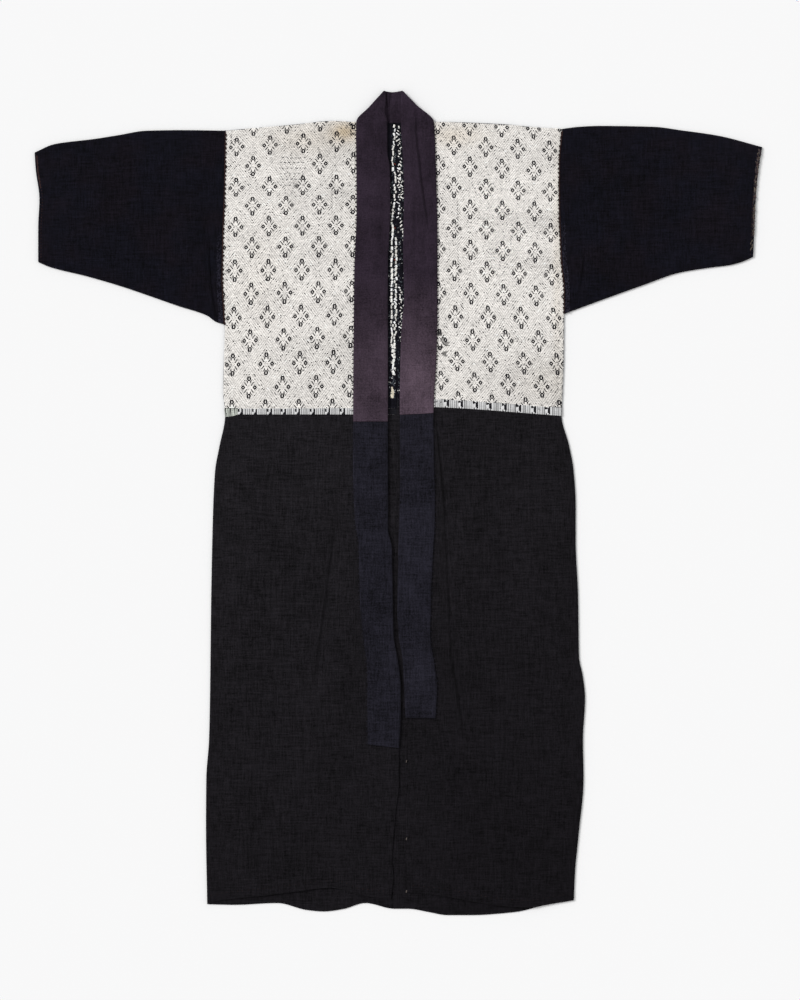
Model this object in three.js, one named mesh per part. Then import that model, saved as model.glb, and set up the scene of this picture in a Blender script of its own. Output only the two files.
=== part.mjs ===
// Noragi: a long counted-stitch work coat, laid out flat with its front up and its sleeves spread.
// Millimetres. +Y runs towards the neck, +X towards the wearer's left sleeve, and +Z up from the
// surface that the coat lies on. The origin is the middle of the coat's outline, on that surface.
import * as THREE from 'three';

// Driving dimensions of the coat
const CUFF_TO_CUFF = 1200;
const COAT_LENGTH = 1360;
const SHOULDER_Y = 628.5;
const HALF_SPAN = CUFF_TO_CUFF / 2;
const HALF_LENGTH = COAT_LENGTH / 2;

// Cloth walls and the clearances between the layers and at the seams
const HEMP_WALL = 1.3;
const KOGIN_WALL = 1.8;
const COVER_WALL = 3.0;
const BAND_WALL = 2.6;
const GAP = 0.3;
const FRONT_FLOOR = KOGIN_WALL + GAP;
const COVER_FLOOR = FRONT_FLOOR + KOGIN_WALL + GAP;
const BAND_FLOOR = FRONT_FLOOR + HEMP_WALL + GAP;

// How a front panel swells between its seams, how short its folds die out at them, and how far
// it may lie off the back
const SWELL_RUN = 70;
const FOLD_RUN = 14;
const HIGHEST_LIFT = 3.6;

// Hems, seams and seam allowances: their distances from the edge, and the step that they make
const CUFF_HEM = 6;
const SKIRT_HEM = 13;
const UNDERARM_SEAM = 6.6;
const ALLOWANCE = 5;
const HEM_STEP = 1.6;
const HALF_STEP = 0.2;
const HEM_RISE = 0.6;
const SEAM_DEPTH = 0.6;
const ALLOWANCE_RISE = 0.9;

// Sizes that hem steps are worked out from
const SLEEVE_LENGTH = 312;
const SLEEVE_DEPTH = 320;
const SKIRT_LENGTH = 800;
const BACK_WIDTH = 283;

// The collar strip is folded over the front edge: a lip hangs down past the edge of the panel,
// from a little under the shoulder to a little above the strip's end
const LIP_WIDTH = 2.2;
const LIP_SLOPE = 0.4;
const LIP_START = 24;
const LIP_END = 38;
const EDGE_COVER = 4.6;
const EDGE_ROUNDING = 4;
const ROUNDED_SHARE = 0.62;

// Where the collar's lower ends are, and how soon the front edge comes out of it below them
const COLLAR_FOOT = { right: -404, left: -355 };
const EMERGING_RUN = 24;

// How finely the walls are divided. The panels of the body share their columns at the level seams.
const BODY_COLUMNS = { front: 18, back: 8 };
const COLLAR_COLUMNS = 7;

// Colours of the cloths
const INDIGO_HEMP = 0x15151c;
const BROWN_HEMP = 0x1d1b1e;
const WHITE_COTTON = 0xd8d3cc;
const BORDER_GREY = 0x9a9a9b;
const PLUM_COTTON = 0x3a3040;
const NAVY_COTTON = 0x1f1f27;

// A smooth line through the rows of a table, with no overshoot between them:
// the value of one column at any place along another.
function lineThrough(rows, along, across) {
  const sorted = [...rows].sort((a, b) => a[along] - b[along]);
  const at = sorted.map((row) => row[along]);
  const value = sorted.map((row) => row[across]);
  const last = at.length - 1;
  const steep = [];
  for (let i = 0; i < last; i += 1) steep.push((value[i + 1] - value[i]) / (at[i + 1] - at[i]));
  const slope = at.map((_, i) => {
    if (i === 0) return steep[0];
    if (i === last) return steep[last - 1];
    const product = steep[i - 1] * steep[i];
    return product <= 0 ? 0 : (2 * product) / (steep[i - 1] + steep[i]);
  });
  return (place) => {
    if (place <= at[0]) return value[0] + slope[0] * (place - at[0]);
    if (place >= at[last]) return value[last] + slope[last] * (place - at[last]);
    let i = 0;
    while (place > at[i + 1]) i += 1;
    const run = at[i + 1] - at[i];
    const t = (place - at[i]) / run;
    const s = 1 - t;
    return (
      value[i] * (1 + 2 * t) * s * s +
      value[i + 1] * (3 - 2 * t) * t * t +
      run * t * s * (slope[i] * s - slope[i + 1] * t)
    );
  };
}

const smoothStep = (t) => {
  const k = Math.min(Math.max(t, 0), 1);
  return k * k * (3 - 2 * k);
};
const mix = (a, b, t) => a + (b - a) * t;
const upright = (rows) => lineThrough(rows, 'y', 'x');
const level = (rows) => lineThrough(rows, 'x', 'y');
const moved = (line, distance) => (place) => line(place) + distance;

// Upright cut and fold lines, from the wearer's right to the wearer's left
const cuffRight = upright([
  { y: 578, x: -HALF_SPAN },
  { y: 549, x: -598 },
  { y: 501, x: -592 },
  { y: 452, x: -594 },
  { y: 397, x: -594 },
]);
const sideRight = upright([
  { y: 614, x: -284.5 },
  { y: 523, x: -286 },
  { y: 434, x: -289 },
  { y: 369, x: -290 },
  { y: 290, x: -286.5 },
  { y: 186, x: -289 },
  { y: 145, x: -286 },
  { y: 90, x: -296 },
  { y: 53, x: -302.5 },
  { y: -20, x: -306 },
  { y: -160, x: -309 },
  { y: -328, x: -311 },
  { y: -391, x: -312.5 },
  { y: -455, x: -317 },
  { y: -532, x: -317.5 },
  { y: -662, x: -315.5 },
]);
const collarOuterRight = upright([
  { y: HALF_LENGTH, x: -23.5 },
  { y: 652, x: -49 },
  { y: 629, x: -69.5 },
  { y: 620, x: -70 },
  { y: 486, x: -69 },
  { y: 374, x: -73 },
  { y: 60, x: -75 },
  { y: -30, x: -71.5 },
  { y: -66, x: -66 },
  { y: -160, x: -63.5 },
  { y: -220, x: -58.5 },
  { y: -272, x: -51.5 },
  { y: -398, x: -51 },
]);
const collarInnerRight = upright([
  { y: HALF_LENGTH, x: -21 },
  { y: 645, x: -18.5 },
  { y: 628, x: -14 },
  { y: 486, x: -13 },
  { y: 424, x: -15.5 },
  { y: 400, x: -17 },
  { y: -43, x: -17 },
  { y: -73, x: -10.5 },
  { y: -160, x: -9 },
  { y: -220, x: -7.5 },
  { y: -258, x: -1 },
  { y: -305, x: 4 },
  { y: -347, x: 4 },
  { y: -404, x: 1 },
]);
const collarInnerLeft = upright([
  { y: HALF_LENGTH, x: 4 },
  { y: 637, x: 3.5 },
  { y: 572, x: 7 },
  { y: 508, x: 9 },
  { y: 424, x: 7.5 },
  { y: 338, x: 9 },
  { y: 275, x: 4 },
  { y: 145, x: 2 },
  { y: 53, x: 2.5 },
  { y: -89, x: -0.5 },
  { y: -178, x: -2 },
  { y: -220, x: 0.5 },
  { y: -262, x: 7 },
  { y: -347, x: 11 },
]);
const collarOuterLeft = upright([
  { y: HALF_LENGTH, x: 6.5 },
  { y: 655, x: 31 },
  { y: 629, x: 58.5 },
  { y: 620, x: 59.5 },
  { y: 572, x: 61.5 },
  { y: 424, x: 64.5 },
  { y: 312, x: 64.5 },
  { y: 240, x: 63 },
  { y: 145, x: 58 },
  { y: -18, x: 60.5 },
  { y: -89, x: 57 },
  { y: -157, x: 54 },
  { y: -220, x: 53 },
  { y: -262, x: 59 },
  { y: -305, x: 64 },
  { y: -355, x: 61.5 },
]);
const sideLeft = upright([
  { y: 617, x: 270 },
  { y: 560, x: 265 },
  { y: 500, x: 265 },
  { y: 398, x: 268.5 },
  { y: 349, x: 273 },
  { y: 239, x: 272.5 },
  { y: 143, x: 269.5 },
  { y: 95, x: 281.5 },
  { y: 54, x: 289 },
  { y: -3, x: 292.5 },
  { y: -61, x: 292.5 },
  { y: -154, x: 296.5 },
  { y: -253, x: 298 },
  { y: -287, x: 304.5 },
  { y: -322, x: 308 },
  { y: -391, x: 304.5 },
  { y: -454, x: 305.5 },
  { y: -551, x: 297 },
  { y: -609, x: 291.5 },
  { y: -655, x: 289.5 },
]);
const cuffLeft = upright([
  { y: 587, x: HALF_SPAN },
  { y: 551, x: 594 },
  { y: 503, x: 589.5 },
  { y: 405, x: 585 },
]);
const centreBack = upright([
  { y: 628, x: -6 },
  { y: 150, x: -3 },
  { y: -670, x: 2 },
]);

// The front edges run hidden inside the collar, and show below its lower ends
const freeEdgeRight = upright([
  { y: -400, x: 1 },
  { y: -462, x: 1 },
  { y: -507, x: -4 },
  { y: -566, x: -9 },
  { y: -591, x: -10.5 },
  { y: -616, x: -8 },
  { y: -650, x: -11.5 },
]);
const freeEdgeLeft = upright([
  { y: -355, x: 15.5 },
  { y: -405, x: 16 },
  { y: -469, x: 16.5 },
  { y: -497, x: 12 },
  { y: -640, x: 14 },
]);
const frontEdge = (free, inner, inset, collarFoot) => (y) =>
  mix(free(y), inner(y) + inset, smoothStep((y - collarFoot) / EMERGING_RUN));
const frontEdgeRight = frontEdge(freeEdgeRight, collarInnerRight, -EDGE_COVER, COLLAR_FOOT.right);
const frontEdgeLeft = frontEdge(freeEdgeLeft, collarInnerLeft, EDGE_COVER, COLLAR_FOOT.left);

// Level cut and fold lines: the sleeves' top and bottom edges, the shoulders, seams and hems
const sleeveTopRight = level([
  { x: -HALF_SPAN, y: 578 },
  { x: -567, y: 592 },
  { x: -501, y: 600.5 },
  { x: -460, y: 607 },
  { x: -416, y: 614 },
  { x: -356, y: 615 },
  { x: -284, y: 614 },
]);
const sleeveBottomRight = level([
  { x: -594, y: 397 },
  { x: -575, y: 389 },
  { x: -515, y: 374 },
  { x: -460, y: 358 },
  { x: -364, y: 325 },
  { x: -316, y: 309 },
  { x: -301, y: 298.5 },
  { x: -286, y: 294 },
]);
const sleeveTopLeft = level([
  { x: 270, y: 617 },
  { x: 298, y: 620.5 },
  { x: 334, y: 622 },
  { x: 420, y: 620.5 },
  { x: 468, y: 614.5 },
  { x: 529, y: 605.5 },
  { x: HALF_SPAN, y: 587 },
]);
const sleeveBottomLeft = level([
  { x: 272, y: 311 },
  { x: 323, y: 330 },
  { x: 405, y: 359.5 },
  { x: 463, y: 379.5 },
  { x: 511, y: 387.5 },
  { x: 546, y: 392 },
  { x: 567, y: 397.5 },
  { x: 584, y: 405 },
]);
const shoulderRight = level([
  { x: -285, y: 614 },
  { x: -162, y: 625 },
  { x: -110, y: 630 },
  { x: -72, y: SHOULDER_Y },
  { x: 0, y: SHOULDER_Y },
]);
const shoulderLeft = level([
  { x: -20, y: SHOULDER_Y },
  { x: 60, y: SHOULDER_Y },
  { x: 169, y: 625 },
  { x: 222, y: 620 },
  { x: 270, y: 617 },
]);
const neckTop = level([
  { x: -25, y: HALF_LENGTH - 0.5 },
  { x: -10, y: HALF_LENGTH - 2.5 },
  { x: 7, y: HALF_LENGTH },
]);
const coverTop = level([
  { x: -25, y: HALF_LENGTH - 1 },
  { x: 7, y: HALF_LENGTH - 1 },
]);
const borderTopRight = level([
  { x: -287, y: 155 },
  { x: -20, y: 156 },
]);
const borderBottomRight = level([
  { x: -287, y: 142 },
  { x: -262, y: 145.5 },
  { x: -20, y: 145.5 },
]);
const borderTopLeft = level([
  { x: 5, y: 172 },
  { x: 60, y: 170.5 },
  { x: 271, y: 156 },
]);
const borderBottomLeft = level([
  { x: 5, y: 158.5 },
  { x: 60, y: 157.5 },
  { x: 271, y: 143 },
]);
const coverEndRight = level([
  { x: -75, y: 134 },
  { x: -17, y: 134 },
]);
const coverEndLeft = level([
  { x: 2, y: 145 },
  { x: 34, y: 146.5 },
  { x: 58, y: 148 },
]);
const bandEndRight = level([
  { x: -52, y: -398 },
  { x: 1, y: -404 },
]);
const bandEndLeft = level([
  { x: 10, y: -354 },
  { x: 62, y: -355 },
]);
const frontHemRight = level([
  { x: -316, y: -661.5 },
  { x: -293, y: -655.5 },
  { x: -217, y: -647 },
  { x: -167, y: -640.5 },
  { x: -113, y: -634.5 },
  { x: -91, y: -637 },
  { x: -67, y: -647 },
  { x: -44, y: -650 },
  { x: -12, y: -653 },
]);
const frontHemLeft = level([
  { x: 14, y: -642 },
  { x: 67, y: -647 },
  { x: 131, y: -658.5 },
  { x: 177, y: -665 },
  { x: 219, y: -667 },
  { x: 240, y: -663.5 },
  { x: 290, y: -655 },
]);
const backHem = level([
  { x: -316, y: -662 },
  { x: -271, y: -663 },
  { x: -200, y: -660 },
  { x: -152, y: -671.5 },
  { x: -124, y: -674 },
  { x: -91, y: -670 },
  { x: -55, y: -660 },
  { x: -7, y: -669.5 },
  { x: 16, y: -669.5 },
  { x: 50, y: -675 },
  { x: 80, y: -HALF_LENGTH },
  { x: 118, y: -HALF_LENGTH },
  { x: 192, y: -675 },
  { x: 240, y: -664 },
  { x: 290, y: -655.5 },
]);

// The largest folds of the front, each a soft ridge, or a trough where its height is negative
const FOLDS = {
  sleeve_right: [
    { path: [[-314, 560], [-310, 420], [-308, 318]], width: 18, height: -2.4 },
    { path: [[-334, 520], [-338, 400], [-334, 330]], width: 18, height: 1.8 },
    { path: [[-560, 470], [-470, 480], [-400, 455]], width: 30, height: 1.0 },
  ],
  sleeve_left: [
    { path: [[304, 430], [296, 370], [292, 330]], width: 16, height: -2.4 },
    { path: [[328, 430], [322, 380], [316, 340]], width: 16, height: 1.8 },
    { path: [[468, 440], [456, 410], [444, 385]], width: 18, height: -2.0 },
    { path: [[402, 410], [386, 385], [372, 360]], width: 18, height: -1.8 },
    { path: [[560, 480], [480, 500], [400, 490]], width: 30, height: 1.0 },
  ],
  front_yoke_right: [
    { path: [[-240, 560], [-180, 420], [-200, 230]], width: 40, height: 0.8 },
    { path: [[-96, 600], [-104, 520], [-100, 400]], width: 16, height: -1.2 },
  ],
  front_yoke_left: [
    { path: [[210, 560], [160, 420], [190, 230]], width: 40, height: 0.8 },
    { path: [[88, 560], [94, 420], [90, 260]], width: 16, height: -1.0 },
  ],
  front_skirt_right: [
    { path: [[-104, -50], [-118, -160], [-129, -238], [-134, -300]], width: 17, height: -2.4 },
    { path: [[-84, -40], [-96, -160], [-104, -260], [-100, -340]], width: 17, height: 1.4 },
    { path: [[-62, -290], [-74, -360], [-92, -430]], width: 17, height: -1.6 },
    { path: [[-230, 60], [-246, -120], [-236, -320]], width: 40, height: 1.0 },
    { path: [[-180, -430], [-190, -540], [-176, -620]], width: 26, height: 1.0 },
  ],
  front_skirt_left: [
    { path: [[64, 130], [72, 56], [79, -45], [85, -200]], width: 15, height: -2.0 },
    { path: [[85, -160], [90, -243], [100, -309], [112, -400]], width: 16, height: -2.4 },
    { path: [[84, 110], [94, 20], [104, -150], [122, -300]], width: 17, height: 1.7 },
    { path: [[210, 60], [226, -120], [222, -320]], width: 40, height: 1.0 },
    { path: [[110, -420], [120, -520], [104, -610]], width: 24, height: 1.2 },
  ],
  collar_cover_right: [
    { path: [[-28, 650], [-30, 560], [-36, 460], [-40, 340]], width: 13, height: 2.2 },
  ],
  collar_cover_left: [
    { path: [[16, 650], [19, 560], [24, 460], [30, 340]], width: 12, height: 2.2 },
    { path: [[30, 656], [29, 625], [32, 590], [35, 557]], width: 6, height: -2.2 },
    { path: [[33, 575], [42, 516], [50, 466]], width: 6, height: -1.6 },
  ],
  collar_neck: [
    { path: [[-22, 677], [-20, 656], [-17, 640]], width: 4, height: -1.2 },
    { path: [[-11, 677], [-14, 655], [-17, 640]], width: 4, height: -1.2 },
    { path: [[-3, 668], [-4, 645]], width: 6, height: 0.5 },
  ],
  collar_band_right: [
    { path: [[-46, 100], [-46, -60], [-34, -220], [-24, -340]], width: 16, height: 0.6 },
  ],
  collar_band_left: [
    { path: [[30, 100], [30, -60], [26, -200], [36, -310]], width: 16, height: 0.6 },
  ],
};

// The height that one fold gives at a point: it is full along its middle and dies out at its ends.
function foldHeight(fold, x, y) {
  const { path, width, height } = fold;
  let nearest = Infinity;
  let along = 0;
  for (let i = 0; i + 1 < path.length; i += 1) {
    const [x1, y1] = path[i];
    const [x2, y2] = path[i + 1];
    const [dx, dy] = [x2 - x1, y2 - y1];
    const t = Math.min(Math.max(((x - x1) * dx + (y - y1) * dy) / (dx * dx + dy * dy), 0), 1);
    const distance = Math.hypot(x - x1 - t * dx, y - y1 - t * dy);
    if (distance < nearest) {
      nearest = distance;
      along = (i + t) / (path.length - 1);
    }
  }
  const fade = smoothStep(along * 4) * smoothStep((1 - along) * 4);
  return height * fade * Math.exp(-((nearest / width) ** 2));
}

// The point where an upright line and a level line cross
function corner(uprightLine, levelLine) {
  let y = levelLine(uprightLine(0));
  for (let i = 0; i < 60; i += 1) y = mix(y, levelLine(uprightLine(y)), 0.7);
  return [uprightLine(y), y];
}

// A panel lies between four lines. Half the seam gap is taken off at each of them.
function panelShape({ left, right, top, bottom }) {
  const inset = GAP / 2;
  const leftLine = moved(left, inset);
  const rightLine = moved(right, -inset);
  const topLine = moved(top, -inset);
  const bottomLine = moved(bottom, inset);
  const topLeft = corner(leftLine, topLine);
  const topRight = corner(rightLine, topLine);
  const bottomLeft = corner(leftLine, bottomLine);
  const bottomRight = corner(rightLine, bottomLine);
  return (u, v) => {
    const topX = mix(topLeft[0], topRight[0], u);
    const bottomX = mix(bottomLeft[0], bottomRight[0], u);
    const leftY = mix(topLeft[1], bottomLeft[1], v);
    const rightY = mix(topRight[1], bottomRight[1], v);
    const ends = [[topX, topLine(topX)], [bottomX, bottomLine(bottomX)]];
    const sides = [[leftLine(leftY), leftY], [rightLine(rightY), rightY]];
    return [0, 1].map((axis) => {
      const fromEnds = mix(ends[0][axis], ends[1][axis], v);
      const fromSides = mix(sides[0][axis], sides[1][axis], u);
      const fromTop = mix(topLeft[axis], topRight[axis], u);
      const fromBottom = mix(bottomLeft[axis], bottomRight[axis], u);
      return fromEnds + fromSides - mix(fromTop, fromBottom, v);
    });
  };
}

const evenSteps = (count) => Array.from({ length: count + 1 }, (_, i) => i / count);
const turned = (steps) => steps.map((step) => 1 - step).reverse();

// Even steps up to the first of some lines near the far edge, then a step on each line, then the edge.
function stepsTo(count, length, distances) {
  const marks = distances.map((distance) => 1 - distance / length);
  return [...evenSteps(count).map((step) => step * marks[0]), ...marks.slice(1), 1];
}

// Steps down a yoke: the first ones match the sleeve's along the armhole, so the seam stays even.
function yokeSteps(side, shoulder, sleeveBottom, yokeBottom, sleeveSteps, below) {
  const [top, meet, foot] = [shoulder, sleeveBottom, yokeBottom].map((line) => corner(side, line)[1]);
  const share = (top - meet) / (top - foot);
  const upperSteps = sleeveSteps.map((step) => step * share);
  const lowerSteps = evenSteps(below).map((step) => mix(share, 1, step));
  return [...upperSteps, ...lowerSteps.slice(1)];
}

// A closed wall over a grid of points: its upper and lower faces, joined round the rim.
function wallGeometry(shape, across, along, lower, upper) {
  const positions = [];
  const width = across.length;
  const height = along.length;
  for (const surface of [upper, lower]) {
    for (const v of along) {
      for (const u of across) {
        const [x, y] = shape(u, v);
        positions.push(x, y, surface(x, y, u, v));
      }
    }
  }
  const under = width * height;
  const index = [];
  const quad = (a, b, c, d) => index.push(a, b, c, a, c, d);
  for (let j = 0; j + 1 < height; j += 1) {
    for (let i = 0; i + 1 < width; i += 1) {
      const a = j * width + i;
      quad(a, a + width, a + width + 1, a + 1);
      quad(under + a, under + a + 1, under + a + width + 1, under + a + width);
    }
  }
  for (let j = 0; j + 1 < height; j += 1) {
    const leftRow = j * width;
    const rightRow = leftRow + width - 1;
    quad(leftRow, under + leftRow, under + leftRow + width, leftRow + width);
    quad(rightRow, rightRow + width, under + rightRow + width, under + rightRow);
  }
  const lastRow = (height - 1) * width;
  for (let i = 0; i + 1 < width; i += 1) {
    quad(i, i + 1, under + i + 1, under + i);
    quad(lastRow + i, under + lastRow + i, under + lastRow + i + 1, lastRow + i + 1);
  }
  const geometry = new THREE.BufferGeometry();
  geometry.setAttribute('position', new THREE.Float32BufferAttribute(positions, 3));
  geometry.setIndex(index);
  geometry.computeVertexNormals();
  return geometry;
}

function clothMesh(name, geometry, color, roughness) {
  const material = new THREE.MeshStandardMaterial({ color, roughness, metalness: 0 });
  const mesh = new THREE.Mesh(geometry, material);
  mesh.name = name;
  return mesh;
}

// How far a point lies inside one of a panel's four lines
const DISTANCE = {
  left: (lines, x, y) => x - lines.left(y),
  right: (lines, x, y) => lines.right(y) - x,
  top: (lines, x, y) => lines.top(x) - y,
  bottom: (lines, x, y) => y - lines.bottom(x),
};

// What the thickness gains along an edge: a turned hem or a seam allowance is a band at the edge,
// and a sewn seam is a groove at its distance from it.
function edgeRelief(lines, bands) {
  return (x, y) =>
    bands.reduce((sum, { edge, from, to, height }) => {
      const distance = DISTANCE[edge](lines, x, y);
      return distance > from - HALF_STEP && distance < to + HALF_STEP ? sum + height : sum;
    }, 0);
}

// A back panel lies flat on the surface, so its underside is plain.
function backPanel({ name, across, along, wall, color, folds = [], bands = [], ...lines }) {
  const shape = panelShape(lines);
  const relief = edgeRelief(lines, bands);
  const folded = (x, y) => folds.reduce((sum, fold) => sum + foldHeight(fold, x, y), 0);
  const lower = () => 0;
  const upper = (x, y) => wall + relief(x, y) + folded(x, y);
  const geometry = wallGeometry(shape, across, along, lower, upper);
  return clothMesh(name, geometry, color, 0.9);
}

// A front panel lies on the back, and swells off it between its seams. Under the collar it is flat.
function frontPanel({ name, across, along, wall, color, swell, folds, bands = [], seen, ...lines }) {
  const shape = panelShape(lines);
  const edges = { ...lines, ...seen };
  const relief = edgeRelief(lines, bands);
  const clear = (x, y, run) =>
    Object.values(DISTANCE).reduce((k, distance) => k * smoothStep(distance(edges, x, y) / run), 1);
  const lift = (x, y) => {
    const folded = folds.reduce((sum, fold) => sum + foldHeight(fold, x, y), 0);
    const lifted = swell * clear(x, y, SWELL_RUN) + folded * clear(x, y, FOLD_RUN);
    return Math.min(Math.max(lifted, 0), HIGHEST_LIFT);
  };
  const lower = (x, y) => FRONT_FLOOR + lift(x, y);
  const upper = (x, y) => lower(x, y) + wall + relief(x, y);
  const geometry = wallGeometry(shape, across, along, lower, upper);
  return clothMesh(name, geometry, color, 0.9);
}

// A collar strip is folded double, with round edges, and wraps down over the front edge it covers.
// Its columns run from the outer edge to the inner one.
function collarStrip({ name, rows, floor, wall, color, folds, lip, inner, outer, ...ends }) {
  const leftToRight = outer(0) < inner(0);
  const left = leftToRight ? outer : inner;
  const right = leftToRight ? inner : outer;
  const shape = panelShape({ left, right, ...ends });
  const nominal = Math.abs(outer(0) - inner(0));
  const marks = [LIP_WIDTH + LIP_SLOPE + EDGE_ROUNDING / 2, LIP_WIDTH + LIP_SLOPE, LIP_WIDTH];
  const [firstMiddle, ...middle] = stepsTo(COLLAR_COLUMNS, nominal, marks);
  const fromOuter = [firstMiddle, EDGE_ROUNDING / nominal, ...middle];
  const across = leftToRight ? fromOuter : turned(fromOuter);
  const fromEdge = (u) => Math.min(u, 1 - u) * nominal;
  const innerDistance = (u) => (leftToRight ? 1 - u : u) * nominal;
  const lift = (x, y, u) => {
    const folded = folds.reduce((sum, fold) => sum + foldHeight(fold, x, y), 0);
    return Math.max(folded, HALF_STEP - wall) * smoothStep(fromEdge(u) / FOLD_RUN);
  };
  const lower = (x, y, u) => {
    const inLip = innerDistance(u) < LIP_WIDTH + HALF_STEP && y < lip.top && y > lip.foot;
    return inLip ? FRONT_FLOOR : floor + Math.max(0, lift(x, y, u));
  };
  const upper = (x, y, u) => {
    const round = mix(ROUNDED_SHARE, 1, smoothStep(fromEdge(u) / EDGE_ROUNDING));
    return floor + wall * round + lift(x, y, u);
  };
  const geometry = wallGeometry(shape, across, evenSteps(rows), lower, upper);
  return clothMesh(name, geometry, color, 0.85);
}

// Sleeves: each is one cloth folded along its top edge, so it has a front layer and a back layer.
// The cuff is hemmed, and the underarm seam leaves its allowance as a narrow flat flange.
const hemmedCuff = stepsTo(16, SLEEVE_LENGTH, [CUFF_HEM + HEM_STEP, CUFF_HEM]);
const flange = [UNDERARM_SEAM + HEM_STEP, UNDERARM_SEAM, UNDERARM_SEAM - HEM_STEP];
const sleeveRows = { front: stepsTo(9, SLEEVE_DEPTH, flange), back: evenSteps(6) };

function sleeves() {
  const right = { left: cuffRight, right: sideRight, top: sleeveTopRight, bottom: sleeveBottomRight };
  const left = { left: sideLeft, right: cuffLeft, top: sleeveTopLeft, bottom: sleeveBottomLeft };
  const cloth = { wall: HEMP_WALL, color: INDIGO_HEMP };
  const front = { ...cloth, along: sleeveRows.front, swell: 2.2 };
  const back = { ...cloth, across: evenSteps(10), along: sleeveRows.back };
  const seam = { edge: 'bottom', from: UNDERARM_SEAM, to: UNDERARM_SEAM, height: -SEAM_DEPTH };
  const cuff = (edge) => ({ edge, from: 0, to: CUFF_HEM, height: HEM_RISE });
  return [
    frontPanel({
      name: 'sleeve_right_front',
      ...front,
      ...right,
      across: turned(hemmedCuff),
      folds: FOLDS.sleeve_right,
      bands: [cuff('left'), seam],
    }),
    frontPanel({
      name: 'sleeve_left_front',
      ...front,
      ...left,
      across: hemmedCuff,
      folds: FOLDS.sleeve_left,
      bands: [cuff('right'), seam],
    }),
    backPanel({ name: 'sleeve_right_back', ...back, ...right }),
    backPanel({ name: 'sleeve_left_back', ...back, ...left }),
  ];
}

// The four back panels on each side share their columns, which end at the centre back seam.
// The wearer's right half carries its seam allowance, pressed flat, where the fronts part.
const allowanceMarks = [ALLOWANCE + HEM_STEP, ALLOWANCE];
const backColumns = {
  right: stepsTo(BODY_COLUMNS.back, BACK_WIDTH, allowanceMarks),
  left: evenSteps(BODY_COLUMNS.back),
};
const backSeam = [{ edge: 'right', from: 0, to: ALLOWANCE, height: ALLOWANCE_RISE }];

// Yokes: the stitched white cloth runs over each shoulder, from the front to the back.
function yokes() {
  const frontRight = {
    left: sideRight,
    right: frontEdgeRight,
    top: shoulderRight,
    bottom: borderTopRight,
    seen: { right: collarOuterRight },
  };
  const frontLeft = {
    left: frontEdgeLeft,
    right: sideLeft,
    top: shoulderLeft,
    bottom: borderTopLeft,
    seen: { left: collarOuterLeft },
  };
  const backRight = { left: sideRight, right: centreBack, top: shoulderRight, bottom: borderTopRight };
  const backLeft = { left: centreBack, right: sideLeft, top: shoulderLeft, bottom: borderTopLeft };
  const rightLines = [sideRight, shoulderRight, sleeveBottomRight, borderTopRight];
  const leftLines = [sideLeft, shoulderLeft, sleeveBottomLeft, borderTopLeft];
  const frontRows = (lines) => ({ along: yokeSteps(...lines, sleeveRows.front, 5) });
  const backRows = (lines) => ({ along: yokeSteps(...lines, sleeveRows.back, 4) });
  const cloth = { wall: KOGIN_WALL, color: WHITE_COTTON };
  const front = { ...cloth, across: evenSteps(BODY_COLUMNS.front), swell: 1.8 };
  return [
    frontPanel({
      name: 'front_yoke_right',
      ...front,
      ...frontRight,
      ...frontRows(rightLines),
      folds: FOLDS.front_yoke_right,
    }),
    frontPanel({
      name: 'front_yoke_left',
      ...front,
      ...frontLeft,
      ...frontRows(leftLines),
      folds: FOLDS.front_yoke_left,
    }),
    backPanel({
      name: 'back_yoke_right',
      ...cloth,
      ...backRight,
      ...backRows(rightLines),
      across: backColumns.right,
      bands: backSeam,
    }),
    backPanel({
      name: 'back_yoke_left',
      ...cloth,
      ...backLeft,
      ...backRows(leftLines),
      across: backColumns.left,
    }),
  ];
}

// Borders: the narrow ribbed strip that ends each yoke, front and back.
function borders() {
  const right = { left: sideRight, top: borderTopRight, bottom: borderBottomRight };
  const left = { right: sideLeft, top: borderTopLeft, bottom: borderBottomLeft };
  const strip = { along: evenSteps(1), wall: KOGIN_WALL, color: BORDER_GREY };
  const front = { ...strip, across: evenSteps(BODY_COLUMNS.front), swell: 0, folds: [] };
  return [
    frontPanel({ name: 'front_border_right', ...front, ...right, right: frontEdgeRight }),
    frontPanel({ name: 'front_border_left', ...front, ...left, left: frontEdgeLeft }),
    backPanel({
      name: 'back_border_right',
      ...strip,
      ...right,
      right: centreBack,
      across: backColumns.right,
      bands: backSeam,
    }),
    backPanel({
      name: 'back_border_left',
      ...strip,
      ...left,
      left: centreBack,
      across: backColumns.left,
    }),
  ];
}

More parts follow.
